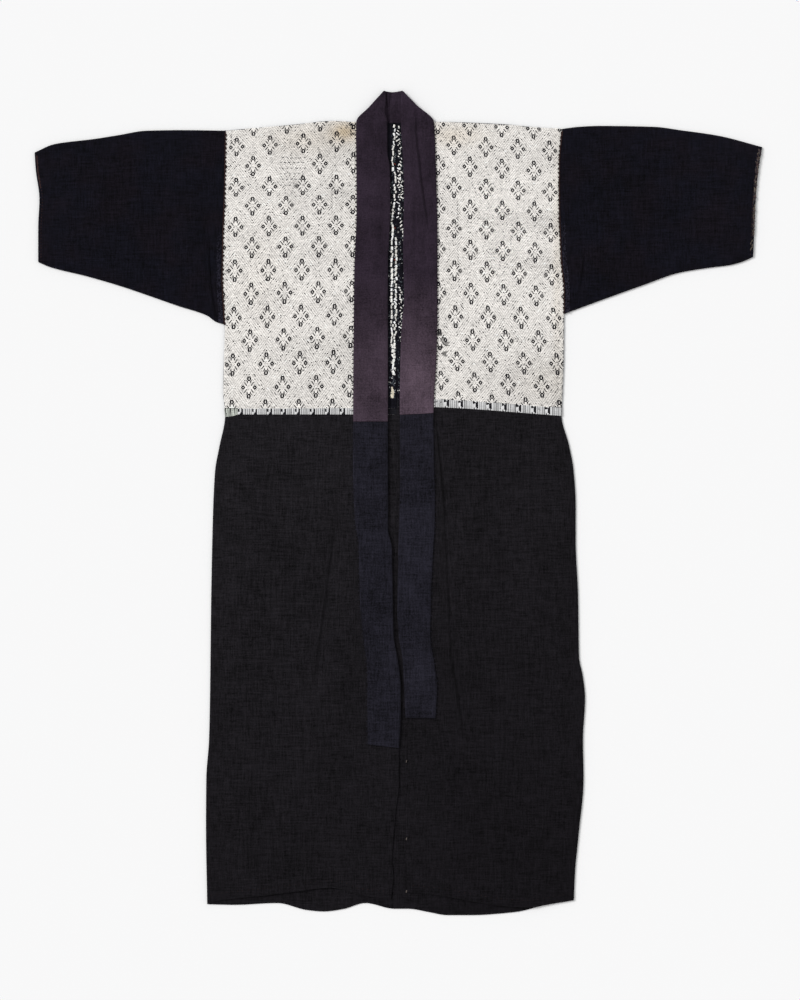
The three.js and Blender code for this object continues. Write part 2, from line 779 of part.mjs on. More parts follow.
// Skirts: the plain lower panels, one loom width each. The back hem hangs lower than the front.
function skirts() {
  const frontRight = {
    left: sideRight,
    right: frontEdgeRight,
    top: borderBottomRight,
    bottom: frontHemRight,
    seen: { right: moved(collarOuterRight, -2) },
  };
  const frontLeft = {
    left: frontEdgeLeft,
    right: sideLeft,
    top: borderBottomLeft,
    bottom: frontHemLeft,
    seen: { left: moved(collarOuterLeft, 2) },
  };
  const backRight = { left: sideRight, right: centreBack, top: borderBottomRight, bottom: backHem };
  const backLeft = { left: centreBack, right: sideLeft, top: borderBottomLeft, bottom: backHem };
  const cloth = { wall: HEMP_WALL, color: BROWN_HEMP };
  const hem = { edge: 'bottom', from: 0, to: SKIRT_HEM, height: HEM_RISE };
  const hemmed = stepsTo(27, SKIRT_LENGTH, [SKIRT_HEM + HEM_STEP, SKIRT_HEM]);
  const columns = evenSteps(BODY_COLUMNS.front);
  const front = { ...cloth, across: columns, along: hemmed, swell: 2.2, bands: [hem] };
  const back = { ...cloth, along: evenSteps(18) };
  return [
    frontPanel({ name: 'front_skirt_right', ...front, ...frontRight, folds: FOLDS.front_skirt_right }),
    frontPanel({ name: 'front_skirt_left', ...front, ...frontLeft, folds: FOLDS.front_skirt_left }),
    backPanel({ name: 'back_skirt_right', ...back, ...backRight, across: backColumns.right }),
    backPanel({ name: 'back_skirt_left', ...back, ...backLeft, across: backColumns.left }),
  ];
}

// Collar: a plum cover strip from breast to breast round the neck, and a navy band below each end.
function collar() {
  const right = { outer: collarOuterRight, inner: collarInnerRight };
  const left = { outer: collarOuterLeft, inner: collarInnerLeft };
  const cover = { rows: 24, floor: COVER_FLOOR, wall: COVER_WALL, color: PLUM_COTTON, top: coverTop };
  const band = { rows: 20, floor: BAND_FLOOR, wall: BAND_WALL, color: NAVY_COTTON };
  const lipTop = SHOULDER_Y - LIP_START;
  const lipRight = { top: lipTop, foot: COLLAR_FOOT.right + LIP_END };
  const lipLeft = { top: lipTop, foot: COLLAR_FOOT.left + LIP_END };
  const neckFoot = level([{ x: -75, y: SHOULDER_Y + GAP }, { x: 65, y: SHOULDER_Y + GAP }]);
  const neck = { left: collarOuterRight, right: collarOuterLeft, top: neckTop, bottom: neckFoot };
  const steps = evenSteps(9);
  return [
    collarStrip({
      name: 'collar_cover_right',
      ...cover,
      ...right,
      bottom: coverEndRight,
      folds: FOLDS.collar_cover_right,
      lip: lipRight,
    }),
    collarStrip({
      name: 'collar_cover_left',
      ...cover,
      ...left,
      bottom: coverEndLeft,
      folds: FOLDS.collar_cover_left,
      lip: lipLeft,
    }),
    collarStrip({
      name: 'collar_band_right',
      ...band,
      ...right,
      top: coverEndRight,
      bottom: bandEndRight,
      folds: FOLDS.collar_band_right,
      lip: lipRight,
    }),
    collarStrip({
      name: 'collar_band_left',
      ...band,
      ...left,
      top: coverEndLeft,
      bottom: bandEndLeft,
      folds: FOLDS.collar_band_left,
      lip: lipLeft,
    }),
    backPanel({
      name: 'collar_cover_neck',
      ...neck,
      across: steps,
      along: steps,
      wall: COVER_WALL,
      color: PLUM_COTTON,
      folds: FOLDS.collar_neck,
    }),
  ];
}

const noragi = new THREE.Group();
noragi.name = 'noragi';
noragi.add(...sleeves(), ...yokes(), ...borders(), ...skirts(), ...collar());

export default noragi;
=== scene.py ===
"""A long counted-stitch work coat, laid out flat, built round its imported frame.

Sizes are millimetres unless a name says otherwise. X runs towards the wearer's left sleeve, Y towards
the neck and Z up off the floor that the coat lies on, as in the frame.
"""

import math

import bpy
import numpy as np
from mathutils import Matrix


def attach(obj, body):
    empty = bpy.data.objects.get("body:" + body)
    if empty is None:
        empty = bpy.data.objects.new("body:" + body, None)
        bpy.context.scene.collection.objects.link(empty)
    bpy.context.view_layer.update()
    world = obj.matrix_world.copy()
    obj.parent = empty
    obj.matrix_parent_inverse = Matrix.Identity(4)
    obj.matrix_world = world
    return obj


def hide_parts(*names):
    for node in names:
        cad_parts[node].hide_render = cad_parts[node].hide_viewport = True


bl_info = {
    "name": "Noragi",
    "version": (1, 0, 0),
    "blender": (4, 5, 0),
    "location": "3D View > Sidebar > Noragi",
    "description": "Builds a counted-stitch work coat laid out flat, piece by piece",
    "category": "Mesh",
}

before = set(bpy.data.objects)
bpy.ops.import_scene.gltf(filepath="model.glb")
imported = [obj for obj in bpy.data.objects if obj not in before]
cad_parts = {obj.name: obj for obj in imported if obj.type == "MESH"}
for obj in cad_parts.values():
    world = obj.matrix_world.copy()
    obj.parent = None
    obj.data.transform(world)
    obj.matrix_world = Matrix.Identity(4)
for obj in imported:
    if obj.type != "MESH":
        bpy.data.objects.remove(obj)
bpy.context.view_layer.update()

# The coat's driving dimensions
MM = 0.001
HALF_SPAN = 600
HALF_LENGTH = 680
SHOULDER_Y = 628.5

# How the layers lie on each other: walls of the cloths and the clearances between them
HEMP_WALL = 1.3
YOKE_WALL = 1.8
GROUND_DROP = 0.5
GROUND_WALL = YOKE_WALL - GROUND_DROP
COVER_WALL = 3.0
BAND_WALL = 2.6
GAP = 0.3
FRONT_FLOOR = YOKE_WALL + GAP
COVER_FLOOR = FRONT_FLOOR + YOKE_WALL + GAP
BAND_FLOOR = FRONT_FLOOR + HEMP_WALL + GAP

# How the height of a face rises from its edges inwards, and how far it may rise or sink
SWELL_RUN = 70
FOLD_RUN = 14
CREASE_RUN = 3
RIPPLE_RUN = 9
HIGHEST_LIFT = 3.6
DEEPEST_TROUGH = 0.4
LOWEST_FACE = 0.5
LEAST_ROUNDING = 1.2

# The relief of seams and hems, and how the middle of a front's hem stands off the back
SEAM_DIP = 0.55
SEAM_DIP_WIDTH = 2.2
SEAM_PUCKER = 0.22
HEM_STEP = 0.35
HEM_PUCKER = 0.12
HEM_LIFT = 1.9
HEM_LIFT_RUN = 42
HEM_LIFT_REACH = 112
HEM_LIFT_FADE = 60

# The cells over a crease, the widest crease that needs them, and how far they reach past it
CREASE_CELL = 1.0
SHARP_CREASE = 4.8
SPAN_MARGIN = 1.6
WIDEST_SPAN = 60

# Stitches on the underside lie at this height
UNDERSIDE = 0.02

# Hems, seams and the collar strip's wrap over the front edge
CUFF_HEM = 6
SKIRT_HEM = 13
BACK_HEM_WIDTH = 16
CENTRE_LAP = 0.35
NECK_LAP = 2.2
EDGE_COVER = 4.6
COLLAR_FOOT = {"right": -404, "left": -355}
COLLAR_TUCK = 3
EMERGING_RUN = 24


def smooth_step(t):
    """0 up to t 0, 1 from t 1, and a smooth rise between them."""
    k = np.clip(t, 0, 1)
    return k * k * (3 - 2 * k)


def mix(a, b, t):
    """From a at t 0 to b at t 1."""
    return a + (b - a) * t


def line_through(rows):
    """A smooth line through the rows of a table, (place, value), with no overshoot between them."""
    rows = sorted(rows)
    at = np.array([row[0] for row in rows], float)
    value = np.array([row[1] for row in rows], float)
    steep = np.diff(value) / np.diff(at)
    same_way = steep[:-1] * steep[1:] > 0
    total = np.where(same_way, steep[:-1] + steep[1:], 1)
    middle = np.where(same_way, 2 * steep[:-1] * steep[1:] / total, 0)
    slope = np.concatenate([steep[:1], middle, steep[-1:]])

    def value_at(place):
        place = np.asarray(place, float)
        i = np.clip(np.searchsorted(at, place) - 1, 0, len(at) - 2)
        run = at[i + 1] - at[i]
        t = np.clip((place - at[i]) / run, 0, 1)
        s = 1 - t
        curve = (
            value[i] * (1 + 2 * t) * s * s
            + value[i + 1] * (3 - 2 * t) * t * t
            + run * t * s * (slope[i] * s - slope[i + 1] * t)
        )
        before = np.minimum(place - at[0], 0) * slope[0]
        after = np.maximum(place - at[-1], 0) * slope[-1]
        return curve + before + after

    return value_at


def upright(*rows):
    """An upright line from rows of (y, x)."""
    return line_through(rows)


def level(*rows):
    """A level line from rows of (x, y)."""
    return line_through(rows)


def moved(line, distance):
    """The same line, shifted."""
    return lambda place: line(place) + distance


# Upright cut and fold lines, from the wearer's right to the wearer's left
CUFF_RIGHT = upright(
    (578, -HALF_SPAN), (549, -598), (501, -592), (452, -594), (397, -594),
)
SIDE_RIGHT = upright(
    (614, -284.5), (523, -286), (434, -289), (369, -290), (290, -286.5), (186, -289),
    (145, -286), (90, -296), (53, -302.5), (-20, -306), (-160, -309), (-328, -311),
    (-391, -312.5), (-455, -317), (-532, -317.5), (-662, -315.5),
)
COLLAR_OUTER_RIGHT = upright(
    (HALF_LENGTH, -23.5), (652, -49), (629, -69.5), (620, -70), (486, -69), (374, -73),
    (60, -75), (-30, -71.5), (-66, -66), (-160, -63.5), (-220, -58.5), (-272, -51.5),
    (-398, -51),
)
COLLAR_INNER_RIGHT = upright(
    (HALF_LENGTH, -21), (645, -18.5), (628, -14), (486, -13), (424, -15.5), (400, -17),
    (-43, -17), (-73, -10.5), (-160, -9), (-220, -7.5), (-258, -1), (-305, 4), (-347, 4),
    (-404, 1),
)
COLLAR_INNER_LEFT = upright(
    (HALF_LENGTH, 4), (637, 3.5), (572, 7), (508, 9), (424, 7.5), (338, 9), (275, 4), (145, 2),
    (53, 2.5), (-89, -0.5), (-178, -2), (-220, 0.5), (-262, 7), (-347, 11),
)
COLLAR_OUTER_LEFT = upright(
    (HALF_LENGTH, 6.5), (655, 31), (629, 58.5), (620, 59.5), (572, 61.5), (424, 64.5),
    (312, 64.5), (240, 63), (145, 58), (-18, 60.5), (-89, 57), (-157, 54), (-220, 53),
    (-262, 59), (-305, 64), (-355, 61.5),
)
SIDE_LEFT = upright(
    (617, 270), (560, 265), (500, 265), (398, 268.5), (349, 273), (239, 272.5), (143, 269.5),
    (95, 281.5), (54, 289), (-3, 292.5), (-61, 292.5), (-154, 296.5), (-253, 298),
    (-287, 304.5), (-322, 308), (-391, 304.5), (-454, 305.5), (-551, 297), (-609, 291.5),
    (-655, 289.5),
)
CUFF_LEFT = upright(
    (587, HALF_SPAN), (551, 594), (503, 589.5), (405, 585),
)
CENTRE_BACK = upright(
    (628, -6), (150, -3), (-670, 2),
)

# The two halves of the back lap a little at the centre seam
CENTRE_EDGE_RIGHT = moved(CENTRE_BACK, CENTRE_LAP)
CENTRE_EDGE_LEFT = moved(CENTRE_BACK, -CENTRE_LAP)

# The front edges run hidden inside the collar, and show below its lower ends
FREE_EDGE_RIGHT = upright(
    (-400, 1), (-462, 1), (-507, -4), (-566, -9), (-591, -10.5), (-616, -8), (-650, -11.5),
)
FREE_EDGE_LEFT = upright(
    (-355, 15.5), (-405, 16), (-469, 16.5), (-497, 12), (-640, 14),
)


def front_edge(free, inner, inset, foot):
    """A front's edge: inside the collar down to the collar's foot, and free below it."""
    return lambda y: mix(free(y), inner(y) + inset, smooth_step((y - foot) / EMERGING_RUN))


FRONT_EDGE_RIGHT = front_edge(FREE_EDGE_RIGHT, COLLAR_INNER_RIGHT, -EDGE_COVER, COLLAR_FOOT["right"])
FRONT_EDGE_LEFT = front_edge(FREE_EDGE_LEFT, COLLAR_INNER_LEFT, EDGE_COVER, COLLAR_FOOT["left"])

# Level cut and fold lines: the sleeves' top and bottom edges, the shoulders, seams and hems
SLEEVE_TOP_RIGHT = level(
    (-HALF_SPAN, 578), (-567, 592), (-501, 600.5), (-460, 607), (-416, 614), (-356, 615),
    (-284, 614),
)
SLEEVE_BOTTOM_RIGHT = level(
    (-594, 397), (-575, 389), (-515, 374), (-460, 358), (-364, 325), (-316, 309),
    (-301, 298.5), (-286, 294),
)
SLEEVE_TOP_LEFT = level(
    (270, 617), (298, 620.5), (334, 622), (420, 620.5), (468, 614.5), (529, 605.5),
    (HALF_SPAN, 587),
)
SLEEVE_BOTTOM_LEFT = level(
    (272, 311), (323, 330), (405, 359.5), (463, 379.5), (511, 387.5), (546, 392), (567, 397.5),
    (584, 405),
)
SHOULDER_RIGHT = level(
    (-285, 614), (-162, 625), (-110, 630), (-72, SHOULDER_Y), (0, SHOULDER_Y),
)
SHOULDER_LEFT = level(
    (-20, SHOULDER_Y), (60, SHOULDER_Y), (169, 625), (222, 620), (270, 617),
)
NECK_TOP = level(
    (-25, HALF_LENGTH - 0.5), (-10, HALF_LENGTH - 2.5), (7, HALF_LENGTH),
)
COVER_TOP = level(
    (-25, HALF_LENGTH - 1), (7, HALF_LENGTH - 1),
)
BORDER_TOP_RIGHT = level(
    (-287, 155), (-20, 156),
)
BORDER_BOTTOM_RIGHT = level(
    (-287, 142), (-262, 145.5), (-20, 145.5),
)
BORDER_TOP_LEFT = level(
    (5, 172), (60, 170.5), (271, 156),
)
BORDER_BOTTOM_LEFT = level(
    (5, 158.5), (60, 157.5), (271, 143),
)
COVER_END_RIGHT = level(
    (-75, 134), (-17, 134),
)
COVER_END_LEFT = level(
    (2, 145), (34, 146.5), (58, 148),
)
BAND_END_RIGHT = level(
    (-52, -398), (1, -404),
)
BAND_END_LEFT = level(
    (10, -354), (62, -355),
)
FRONT_HEM_RIGHT = level(
    (-316, -661.5), (-293, -655.5), (-217, -647), (-167, -640.5), (-113, -634.5), (-91, -637),
    (-67, -647), (-44, -650), (-12, -653),
)
FRONT_HEM_LEFT = level(
    (14, -642), (67, -647), (131, -658.5), (177, -665), (219, -667), (240, -663.5),
    (290, -655),
)
BACK_HEM = level(
    (-316, -662), (-271, -663), (-200, -660), (-152, -671.5), (-124, -674), (-91, -670),
    (-55, -660), (-7, -669.5), (16, -669.5), (50, -675), (80, -HALF_LENGTH),
    (118, -HALF_LENGTH), (192, -675), (240, -664), (290, -655.5),
)

# The largest folds, each (path, width, height): a soft ridge, or a trough where the height is negative
FOLDS = {
    "sleeve_right": [
        (((-314, 560), (-310, 420), (-308, 318)), 18, -2.4),
        (((-334, 520), (-338, 400), (-334, 330)), 18, 1.8),
        (((-560, 470), (-470, 480), (-400, 455)), 30, 1.0),
    ],
    "sleeve_left": [
        (((304, 430), (296, 370), (292, 330)), 16, -2.4),
        (((328, 430), (322, 380), (316, 340)), 16, 1.8),
        (((468, 440), (456, 410), (444, 385)), 18, -2.0),
        (((402, 410), (386, 385), (372, 360)), 18, -1.8),
        (((560, 480), (480, 500), (400, 490)), 30, 1.0),
    ],
    "front_yoke_right": [
        (((-240, 560), (-180, 420), (-200, 230)), 40, 0.5),
        (((-96, 600), (-104, 520), (-100, 400)), 16, -1.2),
    ],
    "front_yoke_left": [
        (((210, 560), (160, 420), (190, 230)), 40, 0.5),
        (((88, 560), (94, 420), (90, 260)), 16, -1.0),
    ],
    "front_skirt_right": [
        (((-104, -50), (-118, -160), (-129, -238), (-134, -300)), 17, -2.4),
        (((-84, -40), (-96, -160), (-104, -260), (-100, -340)), 17, 1.4),
        (((-62, -290), (-74, -360), (-92, -430)), 17, -1.6),
        (((-230, 60), (-246, -120), (-236, -320)), 40, 1.0),
        (((-180, -430), (-190, -540), (-176, -620)), 26, 1.0),
    ],
    "front_skirt_left": [
        (((64, 130), (72, 56), (79, -45), (85, -200)), 15, -2.0),
        (((85, -160), (90, -243), (100, -309), (112, -400)), 16, -2.4),
        (((84, 110), (94, 20), (104, -150), (122, -300)), 17, 1.7),
        (((210, 60), (226, -120), (222, -320)), 40, 1.0),
        (((110, -420), (120, -520), (104, -610)), 24, 1.2),
    ],
    "collar_cover_right": [
        (((-28, 650), (-30, 560), (-36, 460), (-40, 340)), 13, 2.2),
    ],
    "collar_cover_left": [
        (((16, 650), (19, 560), (24, 460), (30, 340)), 12, 2.2),
        (((30, 656), (29, 625), (32, 590), (35, 557)), 6, -2.2),
        (((33, 575), (42, 516), (50, 466)), 6, -1.6),
    ],
    "collar_neck": [
        (((-26, 700), (-23, 678), (-20, 656), (-17, 630), (-16, 610)), 2.5, -2.7),
        (((-8, 700), (-11, 678), (-14, 655), (-16, 630), (-17, 610)), 2.2, -2.7),
        (((-3, 690), (-5, 668), (-8, 645), (-11, 620)), 3.2, 0.9),
    ],
    "collar_band_right": [
        (((-46, 100), (-46, -60), (-34, -220), (-24, -340)), 16, 0.6),
    ],
    "collar_band_left": [
        (((30, 100), (30, -60), (26, -200), (36, -310)), 16, 0.6),
    ],
}

# Finer creases, each (path, width, height), laid where the coat shows them
CREASES = {
    "sleeve_right": [
        (((-311, 440), (-309.5, 401), (-308, 370), (-304.5, 336), (-298, 305), (-292, 280)), 2.2, -2.9),
        (((-315, 450), (-314, 401), (-312, 370), (-308.5, 336), (-302, 300)), 2.6, 1.1),
        (((-322, 480), (-322, 430), (-321, 390), (-318, 345)), 4.6, 1.5),
        (((-352, 560), (-366, 500), (-360, 430)), 9, 0.5),
        (((-470, 585), (-462, 520), (-470, 450)), 12, -0.5),
        (((-560, 560), (-548, 500), (-556, 430)), 9, 0.4),
        (((-420, 380), (-400, 362), (-372, 345)), 7, -0.5),
        (((-540, 402), (-500, 396), (-450, 372)), 7, 0.4),
    ],
    "sleeve_left": [
        (((308, 420), (306, 390), (302, 362), (297, 332), (291, 312)), 2.2, -2.7),
        (((303, 410), (301, 388), (297, 362), (292, 335)), 2.4, 1.1),
        (((318, 402), (314, 370), (307, 335)), 5, 0.8),
        (((468, 429), (458, 412), (444, 400)), 4, -1.1),
        (((395, 391), (386, 380), (374, 368)), 4, -1.1),
        (((350, 600), (362, 540), (352, 470)), 10, 0.5),
        (((560, 570), (552, 510), (562, 440)), 9, 0.4),
        (((470, 590), (478, 540), (468, 480)), 12, -0.5),
    ],
    "front_yoke_right": [
        (((-82, 628), (-78, 616), (-76, 600)), 6, -0.8),
        (((-98, 622), (-92, 600), (-90, 560)), 9, 0.5),
        (((-150, 500), (-140, 400), (-150, 300)), 14, -0.4),
        (((-270, 470), (-262, 380), (-272, 300)), 9, 0.5),
    ],
    "front_yoke_left": [
        (((150, 560), (160, 470), (150, 380)), 14, 0.4),
        (((250, 520), (244, 430), (252, 330)), 9, -0.5),
        (((80, 300), (90, 250), (84, 200)), 9, 0.4),
    ],
    "front_skirt_right": [
        (((-101, -10), (-106, -60), (-118, -160), (-129, -238), (-134, -300), (-136, -340)), 2.6, -2.4),
        (((-110, -60), (-122.5, -160), (-133.5, -238), (-139, -300)), 2.6, 0.8),
        (((-270, 110), (-262, 40), (-268, -60)), 9, 0.5),
        (((-150, 120), (-158, 40), (-150, -50)), 12, -0.4),
        (((-290, -200), (-276, -300), (-284, -420)), 9, 0.5),
        (((-210, -330), (-218, -430), (-208, -520)), 10, -0.5),
        (((-58, -410), (-64, -520), (-56, -600)), 9, 0.6),
        (((-130, -450), (-122, -540), (-130, -610)), 9, -0.4),
    ],
    "front_skirt_left": [
        (((55, 205), (59, 157), (65.5, 115), (72, 56), (77, -2), (79, -45), (80, -90)), 2.0, -3.4),
        (((50, 205), (54.5, 157), (61, 115), (67.5, 56), (72.5, -2), (75, -60)), 2.3, 1.0),
        (((75, 20), (79, -45), (85, -160), (88, -243), (98, -309), (107, -370), (112, -420)), 2.2, -2.3),
        (((74, -60), (80.5, -160), (83.5, -243), (93, -305), (102, -360)), 2.4, 0.8),
        (((270, 100), (262, 20), (270, -70)), 9, 0.5),
        (((160, 120), (168, 30), (160, -60)), 12, -0.4),
        (((280, -220), (268, -320), (276, -430)), 9, 0.5),
        (((180, -300), (188, -400), (178, -510)), 11, -0.5),
        (((50, -400), (56, -510), (48, -600)), 8, 0.5),
    ],
    "collar_cover_right": [
        (((-30, 664), (-40, 640), (-44, 600)), 4, -0.9),
        (((-56, 636), (-58, 590), (-56, 540)), 5, 0.5),
        (((-24, 560), (-26, 480), (-24, 400)), 4, -0.5),
        (((-60, 330), (-56, 260), (-60, 190)), 6, 0.4),
        (((-34, 260), (-30, 200), (-34, 150)), 6, -0.4),
    ],
    "collar_cover_left": [
        (
            ((32, 690), (30.5, 650), (31, 610), (34, 578), (38, 541), (45, 490), (49, 462), (52, 430)),
            1.5, -2.5,
        ),
        (((28, 690), (26.5, 650), (27, 610), (30, 578), (34, 541), (41, 490), (45, 455)), 2.2, 1.5),
        (((12, 640), (15, 580), (20, 520)), 5, 0.9),
        (((26, 500), (28, 460), (28, 430), (26, 380)), 3, -1.3),
        (((48, 470), (44, 420), (46, 380)), 3.4, -1.0),
        (((20, 330), (26, 260), (22, 200)), 5, 0.5),
        (((46, 190), (40, 170), (46, 150)), 3, -0.8),
        (((26, 176), (30, 160), (24, 149)), 3, -0.6),
        (((54, 172), (57, 160), (52, 150)), 2.4, 0.6),
    ],
    "collar_neck": [],
    "collar_band_right": [
        (((-70, -100), (-40, -104), (-12, -110)), 3, -0.6),
        (((-62, -168), (-36, -170), (-10, -176)), 2.6, -0.6),
        (((-58, -268), (-40, -273), (-20, -276)), 2.6, -0.7),
        (((-46, -300), (-38, -350), (-40, -390)), 5, 0.5),
    ],
    "collar_band_left": [
        (((10, -112), (30, -110), (56, -112)), 2.8, -0.7),
        (((6, -168), (30, -170), (52, -168)), 2.6, -0.8),
        (((8, -254), (30, -259), (58, -262)), 2.6, -0.7),
        (((30, -60), (34, -140), (28, -230)), 6, 0.4),
        (((48, -280), (40, -320), (44, -350)), 4, -0.5),
    ],
}


def fold_height(fold, x, y):
    """The height that one fold gives at points: full along its middle, and dying out at its ends."""
    path, width, height = fold
    nearest = np.full(np.shape(x), np.inf)
    along = np.zeros(np.shape(x))
    for i, ((x1, y1), (x2, y2)) in enumerate(zip(path, path[1:])):
        dx, dy = x2 - x1, y2 - y1
        t = np.clip(((x - x1) * dx + (y - y1) * dy) / (dx * dx + dy * dy), 0, 1)
        distance = np.hypot(x - x1 - t * dx, y - y1 - t * dy)
        closer = distance < nearest
        nearest = np.where(closer, distance, nearest)
        along = np.where(closer, (i + t) / (len(path) - 1), along)
    fade = smooth_step(along * 4) * smooth_step((1 - along) * 4)
    return height * fade * np.exp(-((nearest / width) ** 2))


def unevenness(seed, wavelength):
    """A gentle unevenness of about one unit, as a few waves that cross each other."""
    rng = np.random.default_rng(seed)
    turn = rng.uniform(0, 2 * math.pi, 10)
    pitch = wavelength * rng.uniform(0.6, 1.8, 10)
    phase = rng.uniform(0, 2 * math.pi, 10)

    def height_at(x, y):
        waves = [
            np.sin(2 * math.pi * (x * math.cos(a) + y * math.sin(a)) / p + f)
            for a, p, f in zip(turn, pitch, phase)
        ]
        return sum(waves) / 3

    return height_at


def crossing(upright_line, level_line):
    """The point where an upright line and a level line cross."""
    y = float(level_line(upright_line(0)))
    for _ in range(60):
        y = float(mix(y, level_line(upright_line(y)), 0.7))
    return float(upright_line(y)), y


def panel_shape(left, right, top, bottom):
    """The points of a panel between four lines, at shares u across it and v down it."""
    inset = GAP / 2
    left_line, right_line = moved(left, inset), moved(right, -inset)
    top_line, bottom_line = moved(top, -inset), moved(bottom, inset)
    top_left, top_right = crossing(left_line, top_line), crossing(right_line, top_line)
    foot_left, foot_right = crossing(left_line, bottom_line), crossing(right_line, bottom_line)

    def point_at(u, v):
        top_x = mix(top_left[0], top_right[0], u)
        foot_x = mix(foot_left[0], foot_right[0], u)
        left_y = mix(top_left[1], foot_left[1], v)
        right_y = mix(top_right[1], foot_right[1], v)
        ends = (top_x, top_line(top_x)), (foot_x, bottom_line(foot_x))
        sides = (left_line(left_y), left_y), (right_line(right_y), right_y)
        point = []
        for axis in (0, 1):
            from_ends = mix(ends[0][axis], ends[1][axis], v)
            from_sides = mix(sides[0][axis], sides[1][axis], u)
            from_top = mix(top_left[axis], top_right[axis], u)
            from_foot = mix(foot_left[axis], foot_right[axis], u)
            point.append(from_ends + from_sides - mix(from_top, from_foot, v))
        return point

    return point_at


class Layer:
    """One layer of cloth: the four lines it lies between, and the form of its upper face."""

    def __init__(
        self, left, right, top, bottom, floor=0.0, wall=HEMP_WALL, swell=0.0, folds=(), creases=(),
        seen=None, closed=(), hems=(), seams=(), ripple=0.25, seed=1, lifted_hem=False,
    ):
        self.lines = {"left": left, "right": right, "top": top, "bottom": bottom}
        self.seen = {**self.lines, **(seen or {})}
        self.floor, self.wall, self.swell = floor, wall, swell
        self.folds, self.creases = folds, creases
        self.closed, self.hems, self.seams = closed, hems, seams
        self.ripple, self.lifted_hem = ripple, lifted_hem
        self.broad = unevenness(seed, 130)
        self.narrow = unevenness(seed + 50, 34)
        self.pucker = unevenness(seed + 90, 13)
        self.shape = panel_shape(left, right, top, bottom)

    def distance(self, side, x, y, lines=None):
        """How far points lie inside one of the layer's lines."""
        line = (lines or self.lines)[side]
        if side == "left":
            return x - line(y)
        if side == "right":
            return line(y) - x
        if side == "top":
            return line(x) - y
        return y - line(x)

    def clear(self, x, y, run):
        """1 well inside the lines that show, and 0 at them."""
        share = 1.0
        for side in self.seen:
            share = share * smooth_step(self.distance(side, x, y, self.seen) / run)
        return share

    def face(self, x, y):
        """The height of the upper face."""
        folded = sum(fold_height(fold, x, y) for fold in self.folds)
        lift = self.swell * self.clear(x, y, SWELL_RUN) + folded * self.clear(x, y, FOLD_RUN)
        height = self.floor + self.wall + np.clip(lift, 0, HIGHEST_LIFT)
        creased = sum(fold_height(crease, x, y) for crease in self.creases)
        uneven = self.ripple * (self.broad(x, y) + 0.35 * self.narrow(x, y))
        height = height + creased * self.clear(x, y, CREASE_RUN) + uneven * self.clear(x, y, RIPPLE_RUN)
        height = np.maximum(height, max(self.floor - DEEPEST_TROUGH, LOWEST_FACE))
        if self.lifted_hem:
            middle = (self.lines["left"](y) + self.lines["right"](y)) / 2
            share = smooth_step((HEM_LIFT_REACH - np.abs(x - middle)) / HEM_LIFT_FADE)
            fading = 1 - smooth_step(self.distance("bottom", x, y) / HEM_LIFT_RUN)
            height = height + HEM_LIFT * share * fading
        for side in self.seams:
            near = self.distance(side, x, y)
            height = height - SEAM_DIP * np.exp(-((near / SEAM_DIP_WIDTH) ** 2))
            height = height + SEAM_PUCKER * self.pucker(x, y) * np.exp(-((near - 5) / 6) ** 2)
        for side, width in self.hems:
            near = self.distance(side, x, y)
            height = height + HEM_STEP * (1 - smooth_step((near - width) / 1.2))
            height = height - HEM_STEP * np.exp(-(((near - width + 1.4) / 0.8) ** 2))
            height = height + HEM_PUCKER * self.pucker(x, y) * np.exp(-((near - width) / 7) ** 2)
        for side in self.closed:
            reach = max(self.floor, LEAST_ROUNDING)
            near = np.clip(self.distance(side, x, y) / reach, 0, 1)
            height = height - reach * (1 - np.sqrt(1 - (1 - near) ** 2))
        return height


def steps(length, pitch, fine=(0.8, 2.0), creased=()):
    """Shares of a length: about a pitch apart, closer over sharp creases, and fine close to its ends."""
    marks = [0.0, *fine]
    place, end = fine[-1], length - fine[-1]
    while True:
        over_crease = any(first < place < last for first, last in creased)
        place += CREASE_CELL if over_crease else pitch
        if place > end - pitch * 0.4:
            break
        marks.append(place)
    marks += [length - mark for mark in (*reversed(fine), 0.0)]
    return np.array(marks) / length


def crease_spans(creases, first, across=True):
    """Where the sharp creases run, as stretches of distance from the first edge of a panel."""
    spans = []
    for path, width, _ in creases:
        if width > SHARP_CREASE:
            continue
        places = [point[0 if across else 1] for point in path]
        low, high = min(places) - SPAN_MARGIN * width, max(places) + SPAN_MARGIN * width
        spans.append((low - first, high - first) if across else (first - high, first - low))
    return [span for span in spans if span[1] - span[0] < WIDEST_SPAN]


def wall_faces(rows, columns, first):
    """The faces of a closed wall over a grid, whose lower face follows its upper one."""
    under = rows * columns
    j, i = np.meshgrid(np.arange(rows - 1), np.arange(columns - 1), indexing="ij")
    a = (j * columns + i).ravel()
    upper = np.stack([a, a + columns, a + columns + 1, a + 1], 1)
    lower = np.stack([a, a + 1, a + columns + 1, a + columns], 1) + under
    j = np.arange(rows - 1) * columns
    left = np.stack([j, j + under, j + under + columns, j + columns], 1)
    k = j + columns - 1
    right = np.stack([k, k + columns, k + under + columns, k + under], 1)
    i = np.arange(columns - 1)
    head = np.stack([i, i + 1, i + 1 + under, i + under], 1)
    last = i + (rows - 1) * columns
    foot = np.stack([last, last + under, last + 1 + under, last + 1], 1)
    return np.concatenate([upper, lower, left, right, head, foot]) + first


